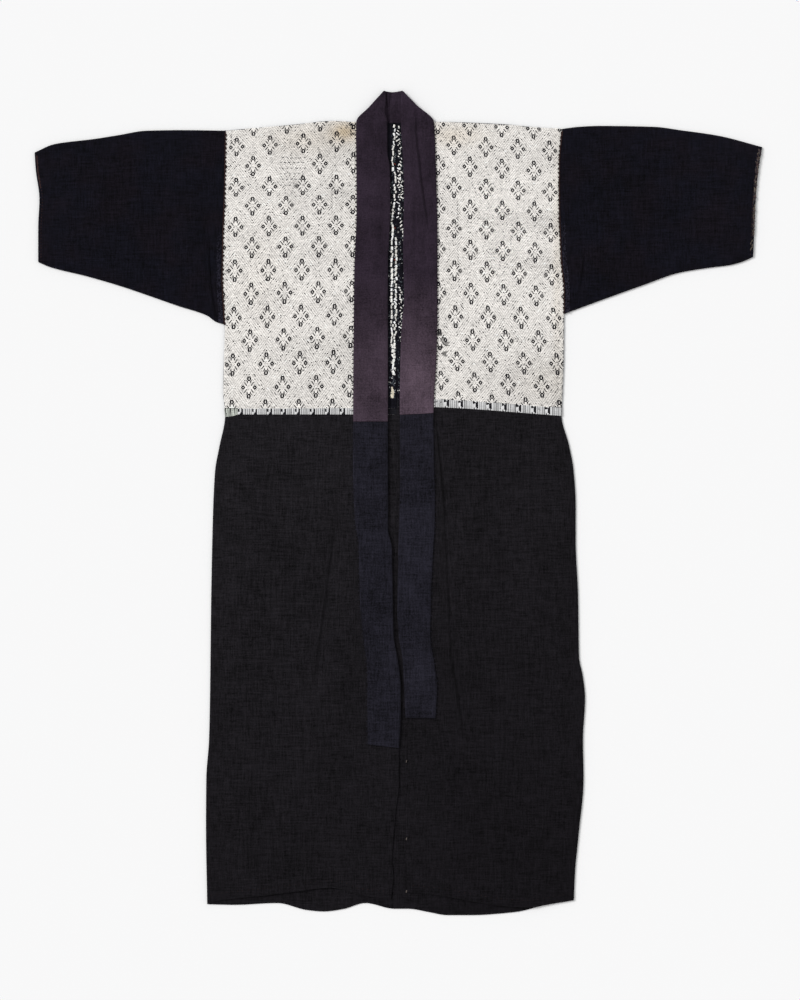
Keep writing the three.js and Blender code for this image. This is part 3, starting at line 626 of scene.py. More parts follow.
def wall_of(layer, cell, thickness, first=0, lowest=0.04):
    """Points and faces of one layer as a closed shell under its face, its rim a little rounded."""
    corners = [layer.shape(u, v) for u in (0.0, 1.0) for v in (0.0, 1.0)]
    xs, ys = zip(*corners)
    across = steps(max(xs) - min(xs), cell, creased=crease_spans(layer.creases, min(xs)))
    along = steps(max(ys) - min(ys), cell, creased=crease_spans(layer.creases, max(ys), False))
    u, v = np.meshgrid(across, along)
    x, y = layer.shape(u, v)
    top = layer.face(x, y)
    rim = np.zeros(top.shape, bool)
    rim[[0, -1], :] = True
    rim[:, [0, -1]] = True
    foot = np.maximum(top - thickness, lowest)
    rounding = (top - foot) * 0.3
    top = np.where(rim, top - rounding, top)
    foot = np.where(rim, foot + rounding, foot)
    points = np.concatenate([np.stack([x, y, z], 2).reshape(-1, 3) for z in (top, foot)])
    return points, wall_faces(*top.shape, first)


def mesh_object(name, points, faces, material, colours=None):
    """A smooth mesh object from points in millimetres and four-sided faces."""
    mesh = bpy.data.meshes.new(name)
    mesh.vertices.add(len(points))
    mesh.vertices.foreach_set("co", (np.asarray(points, float) * MM).ravel())
    mesh.loops.add(faces.size)
    mesh.loops.foreach_set("vertex_index", faces.ravel().astype(np.int32))
    mesh.polygons.add(len(faces))
    mesh.polygons.foreach_set("loop_start", np.arange(0, faces.size, 4, dtype=np.int32))
    mesh.polygons.foreach_set("use_smooth", np.ones(len(faces), bool))
    if colours is not None:
        shades = mesh.color_attributes.new("yarn", "FLOAT_COLOR", "POINT")
        shades.data.foreach_set("color", np.asarray(colours, float).ravel())
    mesh.update(calc_edges=True)
    mesh.validate()
    mesh.materials.append(material)
    obj = bpy.data.objects.new(name, mesh)
    bpy.context.scene.collection.objects.link(obj)
    return obj


def cloth_piece(name, layers, cell, thickness, material, lowest=0.04):
    """Several layers of one cloth as one object."""
    points, faces, first = [], [], 0
    for layer in layers:
        layer_points, layer_faces = wall_of(layer, cell, thickness, first, lowest)
        points.append(layer_points)
        faces.append(layer_faces)
        first += len(layer_points)
    return mesh_object(name, np.concatenate(points), np.concatenate(faces), material)


def placed(piece, nodes=()):
    """A finished piece rides with the coat and stands for CAD nodes."""
    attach(piece, "root")
    if nodes:
        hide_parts(*nodes)
    return piece


def yarn_piece(name, starts, ends, widths, rise, face, material, colours):
    """Short lengths of yarn laid on a face: each is a low rounded strip, its ends dipping in."""
    starts, ends = np.asarray(starts, float), np.asarray(ends, float)
    widths = np.asarray(widths, float)[:, None, None]
    rise = np.asarray(rise, float)[:, None, None]
    run = ends - starts
    length = np.maximum(np.hypot(run[:, 0], run[:, 1]), 1e-6)
    unit = run / length[:, None]
    end_share = np.minimum(0.3, 0.45 / length)
    zeros, ones = np.zeros(len(length)), np.ones(len(length))
    along = np.stack([zeros, end_share, ones - end_share, ones], 1)[:, :, None]
    narrow = np.array([0.7, 1.0, 1.0, 0.7])[None, :, None]
    side = np.array([-0.5, 0.0, 0.5])[None, None, :]
    reach = side * narrow * widths
    x = starts[:, 0, None, None] + run[:, 0, None, None] * along - unit[:, 1, None, None] * reach
    y = starts[:, 1, None, None] + run[:, 1, None, None] * along + unit[:, 0, None, None] * reach
    crown = np.array([0.12, 1.0, 1.0, 0.12])[None, :, None] * (side == 0)
    z = face(x, y) + 0.03 + crown * rise
    points = np.stack([x, y, z], 3).reshape(-1, 3)
    sections, columns = along.shape[1], side.size
    each = sections * columns
    j, i = np.meshgrid(np.arange(sections - 1), np.arange(columns - 1), indexing="ij")
    a = (j * columns + i).ravel()
    strip = np.stack([a, a + columns, a + columns + 1, a + 1], 1)
    faces = (strip[None] + each * np.arange(len(length))[:, None, None]).reshape(-1, 4)
    shades = np.repeat(np.asarray(colours, float), each, axis=0)
    shades = np.concatenate([shades, np.ones((len(shades), 1))], 1)
    return mesh_object(name, points, faces, material, shades)


def flat_yarn(name, starts, ends, widths, colours, material):
    """Floats on the underside, each one flat strip that faces down."""
    run = ends - starts
    length = np.maximum(np.hypot(run[:, 0], run[:, 1]), 1e-6)
    aside = np.stack([-run[:, 1], run[:, 0]], 1) / length[:, None] * np.asarray(widths)[:, None] / 2
    corners = np.stack([starts - aside, starts + aside, ends + aside, ends - aside], 1).reshape(-1, 2)
    points = np.concatenate([corners, np.full((len(corners), 1), UNDERSIDE)], 1)
    faces = np.arange(len(points)).reshape(-1, 4)
    shades = np.repeat(np.asarray(colours, float), 4, axis=0)
    shades = np.concatenate([shades, np.ones((len(shades), 1))], 1)
    return mesh_object(name, points, faces, material, shades)


class Sewing:
    """Stitches gathered for one piece: where each starts and ends, how wide it is, and its colour."""

    def __init__(self, seed):
        self.rng = np.random.default_rng(seed)
        self.starts, self.ends, self.widths, self.colours = [], [], [], []

    def stitch(self, start, end, width, colour):
        """One stitch."""
        self.starts.append(start)
        self.ends.append(end)
        self.widths.append(width)
        self.colours.append(np.asarray(colour) * self.rng.uniform(0.75, 1.25))

    def row(self, line, offset, first, last, pitch, length, slant, width, colour, across=False):
        """A row of stitches beside an upright line, or beside a level one where across is true."""
        for at in np.arange(min(first, last), max(first, last), pitch):
            at = at + self.rng.normal(0, pitch * 0.07)
            turn = math.radians(slant + self.rng.normal(0, 7))
            half = length / 2 * self.rng.uniform(0.8, 1.2)
            along, aside = math.cos(turn) * half, math.sin(turn) * half
            beside = float(line(at)) + offset
            x, y, dx, dy = (at, beside, along, aside) if across else (beside, at, aside, along)
            self.stitch((x - dx, y - dy), (x + dx, y + dy), width * self.rng.uniform(0.8, 1.15), colour)

    def thread(self, path, lengths, gaps, widths, colour, stray=0.8):
        """Broken lengths of yarn that wander down along a path of (y, x)."""
        line = line_through(path)
        y, foot = max(row[0] for row in path), min(row[0] for row in path)
        while y > foot:
            length = self.rng.uniform(*lengths)
            x1 = float(line(y)) + self.rng.normal(0, stray)
            x2 = float(line(y - length)) + self.rng.normal(0, stray)
            self.stitch((x1, y), (x2, y - length), self.rng.uniform(*widths), colour)
            y -= length + self.rng.uniform(*gaps)

    def piece(self, name, rise, face, material, slot):
        """The gathered stitches as one piece."""
        rises = np.full(len(self.starts), rise)
        made = yarn_piece(
            name, self.starts, self.ends, self.widths, rises, face, material, np.clip(self.colours, 0, 0.97)
        )
        return placed(made)


# Materials

def node(tree, kind, **settings):
    """A shader node with its settings and the values of its unlinked sockets."""
    made = tree.nodes.new(kind)
    for key, value in settings.items():
        if key in made.inputs:
            made.inputs[key].default_value = value
        else:
            setattr(made, key, value)
    return made


def maths(tree, operation, first, second):
    """A maths node over two values, each a socket or a number."""
    made = node(tree, "ShaderNodeMath", operation=operation)
    for socket, value in zip(made.inputs, (first, second)):
        if isinstance(value, bpy.types.NodeSocket):
            tree.links.new(value, socket)
        else:
            socket.default_value = value
    return made.outputs[0]


def swing(tree, value, middle, gain):
    """How far a value lies from its middle, times a gain."""
    return maths(tree, "MULTIPLY", maths(tree, "SUBTRACT", value, middle), gain)


def noise(tree, place, scale, detail=3.0, stretch=(1, 1, 1)):
    """Fractal noise over the object's own coordinates, in features for each metre."""
    mapping = node(tree, "ShaderNodeMapping")
    mapping.inputs["Scale"].default_value = stretch
    tree.links.new(place, mapping.inputs["Vector"])
    made = node(tree, "ShaderNodeTexNoise", Scale=scale, Detail=detail, Roughness=0.6)
    tree.links.new(mapping.outputs[0], made.inputs["Vector"])
    return made.outputs["Fac"]


def multiplied(tree, colour, value):
    """A colour times a value."""
    made = node(tree, "ShaderNodeVectorMath", operation="SCALE")
    tree.links.new(colour, made.inputs[0])
    tree.links.new(value, made.inputs["Scale"])
    return made.outputs[0]


def ramp(tree, value, start, end, first, last):
    """From first, where a value is start, to last, where it is end."""
    made = node(tree, "ShaderNodeMapRange")
    for socket, setting in zip(made.inputs[1:5], (start, end, first, last)):
        socket.default_value = setting
    tree.links.new(value, made.inputs[0])
    return made.outputs[0]


def cloth_material(
    name, colour, thread=1.5, weave_depth=0.12, blotch=0.5, speckle=0.6, slubs=2.6, rough=0.95,
    sheen=0.03, other=None, other_where=None, yarn=False,
):
    """Plain-woven cloth: warp and weft threads, fibre speckle, uneven dye and a dry surface."""
    material = bpy.data.materials.new(name)
    material.use_nodes = True
    tree = material.node_tree
    tree.nodes.clear()
    output = node(tree, "ShaderNodeOutputMaterial")
    surface = node(tree, "ShaderNodeBsdfPrincipled", Roughness=rough)
    surface.inputs["Specular IOR Level"].default_value = 0.04
    surface.inputs["Sheen Weight"].default_value = sheen
    surface.inputs["Sheen Roughness"].default_value = 0.6
    tree.links.new(surface.outputs[0], output.inputs[0])
    place = node(tree, "ShaderNodeTexCoord").outputs["Object"]

    if yarn:
        base = node(tree, "ShaderNodeVertexColor", layer_name="yarn").outputs["Color"]
    else:
        base = node(tree, "ShaderNodeRGB").outputs[0]
        base.default_value = (*colour, 1)
    if other is not None:
        far = node(tree, "ShaderNodeRGB").outputs[0]
        far.default_value = (*other, 1)
        split = node(tree, "ShaderNodeSeparateXYZ")
        tree.links.new(place, split.inputs[0])
        share = other_where(tree, split.outputs["X"], split.outputs["Y"])
        blend = node(tree, "ShaderNodeMix", data_type="RGBA")
        tree.links.new(share, blend.inputs["Factor"])
        tree.links.new(base, blend.inputs["A"])
        tree.links.new(far, blend.inputs["B"])
        base = blend.outputs["Result"]

    pitch = 2 * math.pi / (thread * MM)
    split = node(tree, "ShaderNodeSeparateXYZ")
    tree.links.new(place, split.inputs[0])
    wander = maths(tree, "MULTIPLY", noise(tree, place, 90.0), 0.004)
    across = maths(tree, "ADD", split.outputs["X"], wander)
    down = maths(tree, "ADD", split.outputs["Y"], wander)
    warp = maths(tree, "SINE", maths(tree, "MULTIPLY", across, pitch), 0.0)
    weft = maths(tree, "SINE", maths(tree, "MULTIPLY", down, pitch), 0.0)
    weave = maths(tree, "MULTIPLY", warp, weft)
    warp_slub = noise(tree, place, 260.0, 2.0, (2.2, 0.16, 1))
    weft_slub = noise(tree, place, 260.0, 2.0, (0.16, 2.2, 1))
    slub = maths(tree, "ADD", warp_slub, weft_slub)
    fibre = noise(tree, place, 520.0, 4.0)
    patch = noise(tree, place, 26.0, 4.0)
    cloud = noise(tree, place, 7.0, 2.0)

    value = swing(tree, fibre, 0.5, 3.2 * speckle)
    value = maths(tree, "ADD", value, swing(tree, slub, 1, slubs * speckle))
    value = maths(tree, "ADD", value, swing(tree, patch, 0.5, blotch))
    value = maths(tree, "ADD", value, swing(tree, cloud, 0.5, blotch))
    value = maths(tree, "ADD", value, maths(tree, "MULTIPLY", weave, 0.08))
    value = maths(tree, "MAXIMUM", maths(tree, "ADD", value, 1.0), 0.15)
    tree.links.new(multiplied(tree, base, value), surface.inputs["Base Color"])

    height = maths(tree, "ADD", weave, maths(tree, "MULTIPLY", slub, 1.4))
    height = maths(tree, "ADD", height, fibre)
    bump = node(tree, "ShaderNodeBump", Strength=0.5, Distance=weave_depth * MM)
    tree.links.new(height, bump.inputs["Height"])
    tree.links.new(bump.outputs[0], surface.inputs["Normal"])
    return material


# Settings that a user would change

class CoatColours(bpy.types.PropertyGroup):
    """The colours of the cloths and threads."""

    sleeve_hemp: bpy.props.FloatVectorProperty(
        name="Sleeve hemp", description="Near-black indigo of the sleeves", subtype="COLOR",
        default=(0.0040, 0.0039, 0.0075), min=0, max=1,
    )
    sleeve_purple: bpy.props.FloatVectorProperty(
        name="Sleeve hemp, purplish", description="Where the sleeves' dye has turned", subtype="COLOR",
        default=(0.0048, 0.0037, 0.0064), min=0, max=1,
    )
    skirt_hemp: bpy.props.FloatVectorProperty(
        name="Skirt hemp", description="Brown-black of the lower panels", subtype="COLOR",
        default=(0.0102, 0.0092, 0.0112), min=0, max=1,
    )
    yarn_white: bpy.props.FloatVectorProperty(
        name="Darning yarn", description="Off-white of the stitched yokes", subtype="COLOR",
        default=(0.835, 0.804, 0.762), min=0, max=1,
    )
    rib_grey: bpy.props.FloatVectorProperty(
        name="Border ribs", description="Grey of the ribbed borders", subtype="COLOR",
        default=(0.54, 0.54, 0.54), min=0, max=1,
    )
    plum: bpy.props.FloatVectorProperty(
        name="Collar cover", description="Plum brown of the collar cover", subtype="COLOR",
        default=(0.0225, 0.0150, 0.0245), min=0, max=1,
    )
    faded_plum: bpy.props.FloatVectorProperty(
        name="Faded cover", description="Worn mauve of the cover's lower ends", subtype="COLOR",
        default=(0.078, 0.054, 0.073), min=0, max=1,
    )
    # A darker hemp that the lower panels blend into towards the hem and on the wearer's left; nothing shows
    # that fading causes it
    skirt_deep: bpy.props.FloatVectorProperty(
        name="Skirt hemp, darkest", description="Where the lower panels are least faded", subtype="COLOR",
        default=(0.0056, 0.0048, 0.0063), min=0, max=1,
    )
    navy: bpy.props.FloatVectorProperty(
        name="Collar bands", description="Navy of the lower collar", subtype="COLOR",
        default=(0.0108, 0.0103, 0.0160), min=0, max=1,
    )
    seam_thread: bpy.props.FloatVectorProperty(
        name="Seam thread", description="Reddish brown thread of the armholes", subtype="COLOR",
        default=(0.050, 0.026, 0.024), min=0, max=1,
    )


class CoatSizes(bpy.types.PropertyGroup):
    """Sizes of the cloth's make, in metres."""

    shell: bpy.props.FloatProperty(
        name="Cloth", description="Thickness of one cloth", unit="LENGTH", default=0.0009, min=0.0003,
    )
    cell: bpy.props.FloatProperty(
        name="Cell", description="How finely the cloths are divided", unit="LENGTH", default=0.0052,
        min=0.001,
    )
    float_rise: bpy.props.FloatProperty(
        name="Float height", description="How high the darning yarn stands", unit="LENGTH",
        default=0.00022, min=0.0001,
    )


def coat_colours():
    """The scene's own colours for the coat."""
    return bpy.context.scene.noragi_colours


def coat_sizes():
    """The scene's own sizes for the coat's make."""
    return bpy.context.scene.noragi_sizes


def cell_size():
    """How finely the cloths are divided, in millimetres."""
    return coat_sizes().cell / MM


def shell_size():
    """The thickness of one cloth, in millimetres."""
    return coat_sizes().shell / MM


# The layers of cloth: the fronts, which the sewing lies on too, and the backs beneath them

SLEEVE_FRONTS = {
    "right": Layer(
        CUFF_RIGHT, SIDE_RIGHT, SLEEVE_TOP_RIGHT, SLEEVE_BOTTOM_RIGHT, floor=FRONT_FLOOR, swell=2.2,
        folds=FOLDS["sleeve_right"], creases=CREASES["sleeve_right"], closed=("top", "bottom"),
        hems=(("left", CUFF_HEM),), seams=("right",), ripple=0.35, seed=11,
    ),
    "left": Layer(
        SIDE_LEFT, CUFF_LEFT, SLEEVE_TOP_LEFT, SLEEVE_BOTTOM_LEFT, floor=FRONT_FLOOR, swell=2.2,
        folds=FOLDS["sleeve_left"], creases=CREASES["sleeve_left"], closed=("top", "bottom"),
        hems=(("right", CUFF_HEM),), seams=("left",), ripple=0.35, seed=12,
    ),
}
SLEEVE_BACKS = {
    "right": Layer(CUFF_RIGHT, SIDE_RIGHT, SLEEVE_TOP_RIGHT, SLEEVE_BOTTOM_RIGHT, ripple=0.05, seed=13),
    "left": Layer(SIDE_LEFT, CUFF_LEFT, SLEEVE_TOP_LEFT, SLEEVE_BOTTOM_LEFT, ripple=0.05, seed=14),
}
YOKE_FRONTS = {
    "right": Layer(
        SIDE_RIGHT, FRONT_EDGE_RIGHT, SHOULDER_RIGHT, BORDER_TOP_RIGHT, floor=FRONT_FLOOR,
        wall=GROUND_WALL, swell=1.8, folds=FOLDS["front_yoke_right"],
        creases=CREASES["front_yoke_right"], seen={"right": COLLAR_OUTER_RIGHT}, closed=("top",),
        seams=("left",), ripple=0.1, seed=21,
    ),
    "left": Layer(
        FRONT_EDGE_LEFT, SIDE_LEFT, SHOULDER_LEFT, BORDER_TOP_LEFT, floor=FRONT_FLOOR,
        wall=GROUND_WALL, swell=1.8, folds=FOLDS["front_yoke_left"],
        creases=CREASES["front_yoke_left"], seen={"left": COLLAR_OUTER_LEFT}, closed=("top",),
        seams=("right",), ripple=0.1, seed=22,
    ),
}
YOKE_TOPS = {
    "right": Layer(
        SIDE_RIGHT, FRONT_EDGE_RIGHT, SHOULDER_RIGHT, BORDER_BOTTOM_RIGHT, floor=FRONT_FLOOR,
        wall=YOKE_WALL, closed=("top",), ripple=0.0,
    ),
    "left": Layer(
        FRONT_EDGE_LEFT, SIDE_LEFT, SHOULDER_LEFT, BORDER_BOTTOM_LEFT, floor=FRONT_FLOOR,
        wall=YOKE_WALL, closed=("top",), ripple=0.0,
    ),
}
YOKE_BACKS = {
    "right": Layer(
        SIDE_RIGHT, CENTRE_EDGE_RIGHT, SHOULDER_RIGHT, BORDER_TOP_RIGHT, ripple=0.05, seed=23,
    ),
    "left": Layer(
        CENTRE_EDGE_LEFT, SIDE_LEFT, SHOULDER_LEFT, BORDER_TOP_LEFT, ripple=0.05, seed=24,
    ),
}
BORDER_FRONTS = {
    "right": Layer(
        SIDE_RIGHT, FRONT_EDGE_RIGHT, BORDER_TOP_RIGHT, BORDER_BOTTOM_RIGHT, floor=FRONT_FLOOR,
        wall=GROUND_WALL, ripple=0.1, seed=31,
    ),
    "left": Layer(
        FRONT_EDGE_LEFT, SIDE_LEFT, BORDER_TOP_LEFT, BORDER_BOTTOM_LEFT, floor=FRONT_FLOOR,
        wall=GROUND_WALL, ripple=0.1, seed=32,
    ),
}
BORDER_BACKS = {
    "right": Layer(
        SIDE_RIGHT, CENTRE_EDGE_RIGHT, BORDER_TOP_RIGHT, BORDER_BOTTOM_RIGHT, ripple=0.05, seed=33,
    ),
    "left": Layer(
        CENTRE_EDGE_LEFT, SIDE_LEFT, BORDER_TOP_LEFT, BORDER_BOTTOM_LEFT, ripple=0.05, seed=34,
    ),
}
SKIRT_FRONTS = {
    "right": Layer(
        SIDE_RIGHT, FRONT_EDGE_RIGHT, BORDER_BOTTOM_RIGHT, FRONT_HEM_RIGHT, floor=FRONT_FLOOR, swell=2.2,
        folds=FOLDS["front_skirt_right"], creases=CREASES["front_skirt_right"],
        seen={"right": moved(COLLAR_OUTER_RIGHT, -2)}, closed=("left",), hems=(("bottom", SKIRT_HEM),),
        seams=("top",), ripple=0.4, seed=41, lifted_hem=True,
    ),
    "left": Layer(
        FRONT_EDGE_LEFT, SIDE_LEFT, BORDER_BOTTOM_LEFT, FRONT_HEM_LEFT, floor=FRONT_FLOOR, swell=2.2,
        folds=FOLDS["front_skirt_left"], creases=CREASES["front_skirt_left"],
        seen={"left": moved(COLLAR_OUTER_LEFT, 2)}, closed=("right",), hems=(("bottom", SKIRT_HEM),),
        seams=("top",), ripple=0.4, seed=42, lifted_hem=True,
    ),
}
SKIRT_BACKS = {
    "right": Layer(
        SIDE_RIGHT, CENTRE_EDGE_RIGHT, BORDER_BOTTOM_RIGHT, BACK_HEM,
        hems=(("bottom", BACK_HEM_WIDTH),), ripple=0.05, seed=43,
    ),
    "left": Layer(
        CENTRE_EDGE_LEFT, SIDE_LEFT, BORDER_BOTTOM_LEFT, BACK_HEM,
        hems=(("bottom", BACK_HEM_WIDTH),), ripple=0.05, seed=44,
    ),
}
SIDES = ("right", "left")

# Where the stitching that shows ends: at the armhole, and a little way in under the collar
STITCHED_EDGES = {
    "right": (SIDE_RIGHT, moved(COLLAR_OUTER_RIGHT, COLLAR_TUCK)),
    "left": (moved(COLLAR_OUTER_LEFT, -COLLAR_TUCK), SIDE_LEFT),
}

# The raw edge of the centre back seam, which shows inside the coat between the collars
SEAM_ALLOWANCE = Layer(
    moved(CENTRE_BACK, -8.5), CENTRE_BACK, SHOULDER_RIGHT, BORDER_TOP_RIGHT, floor=HEMP_WALL + 0.05,
    wall=0.7, ripple=0.1, seed=29,
)
# Where loose white yarn runs down the inside of the centre back seam, (y, x), on each side of it
INSIDE_YARN = {
    "right": (
        ((624, -7.5), (612, -6), (600, -7), (580, -9.5), (565, -9.5), (545, -6.5), (520, -5.5),
         (500, -6.5), (480, -9), (462, -11), (300, -11), (240, -9), (214, -8.5)),
        ((438, -3.4), (410, -3.8), (370, -4.6), (330, -3.8), (310, -5), (270, -6), (214, -7)),
    ),
    "left": (
        ((622, -1.5), (600, 0), (560, 3), (520, 5), (500, 5)),
        ((560, 0), (530, 1), (505, 2), (470, 0)),
        ((470, 3), (455, 6), (440, 8)),
        ((356, 2), (320, 5), (290, 4), (272, 5)),
    ),
}
INSIDE_WHITE = (0.92, 0.90, 0.85)
INSIDE_BLUE = (0.115, 0.135, 0.150)
INSIDE_TAN = (0.72, 0.66, 0.52)
INSIDE_RED = (0.20, 0.045, 0.03)

# The specks of yarn between the loose lengths: how many, across what, and between what heights
SPECKS = {"right": 520, "left": 360}
SPECK_SPAN = {"right": (-16, -4), "left": (-1, 11)}
SPECK_HEIGHTS = (172, 620)
PLAIN_CORNER = (-11.5, 545)

# A tuft of tan yarn at the foot, each (y, x, width), and the heights of three red ends
TUFT = ((188, -10.2, 2.6), (184, -9.4, 4.2), (180, -9.8, 5.0), (176, -10.4, 4.6))
RED_ENDS = (455, 560, 402)
ALLOWANCE_RISE = 0.78


def inside_marks(side, material):
    """The yarn ends that show inside the back yoke, between the two collars."""
    sewing = Sewing(81 if side == "right" else 82)
    rng = sewing.rng
    for i, path in enumerate(INSIDE_YARN[side]):
        if side == "right":
            sewing.thread(path, (3, 8), (0.2, 2.6 - i), (2.0, 3.6), INSIDE_WHITE, 1.1)
        else:
            sewing.thread(path, (1.5, 4.4), (0.8, 3.2), (1.1, 2.2), INSIDE_WHITE, 2.0)
    for _ in range(SPECKS[side]):
        x, y = rng.uniform(*SPECK_SPAN[side]), rng.uniform(*SPECK_HEIGHTS)
        if x < PLAIN_CORNER[0] and y > PLAIN_CORNER[1]:
            continue
        reach, lean = rng.uniform(0.4, 1.1), rng.normal(0, 0.5)
        colour = INSIDE_BLUE if rng.random() < 0.8 else INSIDE_WHITE
        sewing.stitch((x - lean, y - reach), (x + lean, y + reach), rng.uniform(0.6, 1.0), colour)
    if side == "right":
        for y, x, width in TUFT:
            sewing.stitch((x - 0.6, y + 3.4), (x + 0.5, y - 3.2), width, INSIDE_TAN)
        for y in RED_ENDS:
            sewing.stitch((-7, y), (-4.6, y - 2.4), 1.5, INSIDE_RED)
    layer = YOKE_BACKS[side]

    def lifted(x, y):
        on_allowance = smooth_step((x - CENTRE_BACK(y) + 9.2) / 0.6) * (x < CENTRE_BACK(y))
        return layer.face(x, y) + ALLOWANCE_RISE * on_allowance

    return sewing.piece(f"yoke_inside_yarn_{side}", 0.5, lifted, material, "stitched_cotton")


def over(*layers):
    """The height of the highest of several layers, for what lies over a seam between them."""

    def height(x, y):
        heights = [layer.face(x, y) for layer in layers]
        return np.maximum.reduce(heights)

    return height


# The sewing of the sleeves: the seam's lower end, the cuff hem's reach, and what has worn
ARMHOLE_FOOT = {"right": 296, "left": 314}
CUFF_REACH = {"right": (400, 572), "left": (410, 580)}
PALE_SLUBS = (0.030, 0.028, 0.044)
SLUB_COUNT = 420
FRAY_COUNT = 230
FRAY_REACH = (440, 583)
FRAY_TUFT = (432, 428, 425, 421, 418)
FRAYED = ((0.082, 0.066, 0.055), (0.060, 0.036, 0.040), (0.130, 0.110, 0.085), (0.035, 0.034, 0.042))


def sleeve_sewing(side, thread):
    """The armhole's seam and whip stitches, the cuff's hem stitches and the left cuff's fraying."""
    seam = SIDE_RIGHT if side == "right" else SIDE_LEFT
    outwards = -1 if side == "right" else 1
    brown = coat_colours().seam_thread
    sewing = Sewing(91 if side == "right" else 92)
    foot = ARMHOLE_FOOT[side]
    sewing.row(seam, outwards * 0.6, foot, 613, 3.2, 3.4, 0, 1.5, np.array(brown) * 0.75)
    sewing.row(seam, -outwards * 0.4, foot, 612, 7.4, 2.6, 78, 4.2, np.array(brown) * 0.30)
    for _ in range(SLUB_COUNT):
        y = foot + 150 * sewing.rng.beta(1.1, 1.5)
        x = float(seam(y)) + outwards * sewing.rng.uniform(2.4, 9.5)
        lean, half = sewing.rng.normal(0, 0.5), sewing.rng.uniform(0.3, 0.9)
        sewing.stitch((x - lean, y - half), (x + lean, y + half), 0.7, PALE_SLUBS)
    seam_top = over(SLEEVE_FRONTS[side], YOKE_TOPS[side])

    def raised(x, y):
        return seam_top(x, y) + 0.25

    made = [sewing.piece(f"armhole_stitches_{side}", 0.45, raised, thread, "indigo_hemp")]

    cuff = CUFF_RIGHT if side == "right" else CUFF_LEFT
    hem = Sewing(95 if side == "right" else 96)
    hem.row(cuff, -outwards * (CUFF_HEM - 1.2), *CUFF_REACH[side], 5, 2.4, 0, 0.8, np.array(brown) * 0.8)
    if side == "right":
        hem.row(cuff, 3.6, 520, 572, 3.0, 3.2, 0, 1.6, brown)
    else:
        rng = hem.rng
        for _ in range(FRAY_COUNT):
            y = rng.uniform(*FRAY_REACH)
            reach = mix(2.2, 6.0, (y - FRAY_REACH[0]) / (FRAY_REACH[1] - FRAY_REACH[0]))
            x = float(cuff(y)) - rng.uniform(0.4, reach)
            lean, half = rng.normal(0, 0.9), rng.uniform(0.8, 2.4)
            width, colour = rng.uniform(0.5, 1.2), FRAYED[rng.integers(4)]
            hem.stitch((x - lean, y - half), (x + lean, y + half), width, colour)
        for y in FRAY_TUFT:
            x = float(cuff(y)) - rng.uniform(1.0, 5.0)
            hem.stitch((x - 1, y - 1.6), (x + 0.6, y + 1.6), 1.2, FRAYED[2])
    made.append(hem.piece(f"cuff_stitches_{side}", 0.35, SLEEVE_FRONTS[side].face, thread, "indigo_hemp"))
    return made


def dyed_patches(tree, x, y):
    """Where the sleeves' dye has turned: soft patches a few centimetres wide."""
    place = node(tree, "ShaderNodeCombineXYZ")
    tree.links.new(x, place.inputs["X"])
    tree.links.new(y, place.inputs["Y"])
    return ramp(tree, noise(tree, place.outputs[0], 14.0), 0.42, 0.62, 0.0, 1.0)


def sewing_thread():
    """The thread of the seams and hems."""
    return cloth_material(
        "sewing_thread", (1, 1, 1), yarn=True, speckle=0.2, blotch=0.1, weave_depth=0.05, sheen=0.05
    )


class NORAGI_OT_sleeves(bpy.types.Operator):
    """Build both sleeves, each one cloth folded along its top edge"""

    bl_idname = "noragi.sleeves"
    bl_label = "Sleeves"

    def execute(self, context):
        hemp = cloth_material(
            "sleeve_hemp", coat_colours().sleeve_hemp, speckle=0.85, blotch=0.7,
            other=coat_colours().sleeve_purple, other_where=dyed_patches,
        )
        thread = sewing_thread()
        for side in SIDES:
            layers = (SLEEVE_FRONTS[side], SLEEVE_BACKS[side])
            piece = cloth_piece(f"sleeve_{side}", layers, cell_size(), shell_size(), hemp)
            placed(piece, (f"sleeve_{side}_front", f"sleeve_{side}_back"))
            sleeve_sewing(side, thread)
        return {"FINISHED"}


# The stitched yokes' repeat is a half-drop lattice of small diamonds. One repeat is this many counted
# threads wide, and its rows are numbered down from the first full row of diamonds.
REPEAT_COUNTS = 40
HALF_REPEAT = REPEAT_COUNTS // 2

# The heights of the rows of diamonds, (row, y at the armhole, y at the collar), since the stitching
# sags, and the places of the first upright line of diamonds, (row, x), with the width of a repeat
DIAMOND_ROWS = {
    "right": (
        (0, 585.6, 597.1), (1, 554.2, 560.8), (2, 518.6, 524.9), (3, 489.1, 492.4), (4, 454.2, 457.9),
        (5, 420.6, 423.9), (6, 382.6, 384.3), (7, 343.5, 349.6), (8, 304.3, 310.0), (9, 265.5, 275.4),
        (10, 227.5, 232.5), (11, 189.6, 192.9),
    ),
    "left": (
        (0, 579.5, 591.0), (1, 544.3, 557.5), (2, 511.3, 521.2), (3, 479.2, 484.9), (4, 443.7, 453.6),
        (5, 412.3, 418.9), (6, 374.4, 384.3), (7, 339.7, 347.2), (8, 304.3, 307.4), (9, 265.5, 268.8),
        (10, 229.2, 234.1), (11, 189.6, 202.8),
    ),
}
FIRST_DIAMOND = {
    "right": ((0, -266.5), (6, -269.6), (11, -274)),
    "left": ((0, 91.5), (6, 92.5), (11, 98)),
}
REPEAT_WIDTH = {
    "right": ((0, 55.0), (6, 55.3), (11, 55.3)),
    "left": ((0, 52.6), (6, 53.4), (11, 55.3)),
}
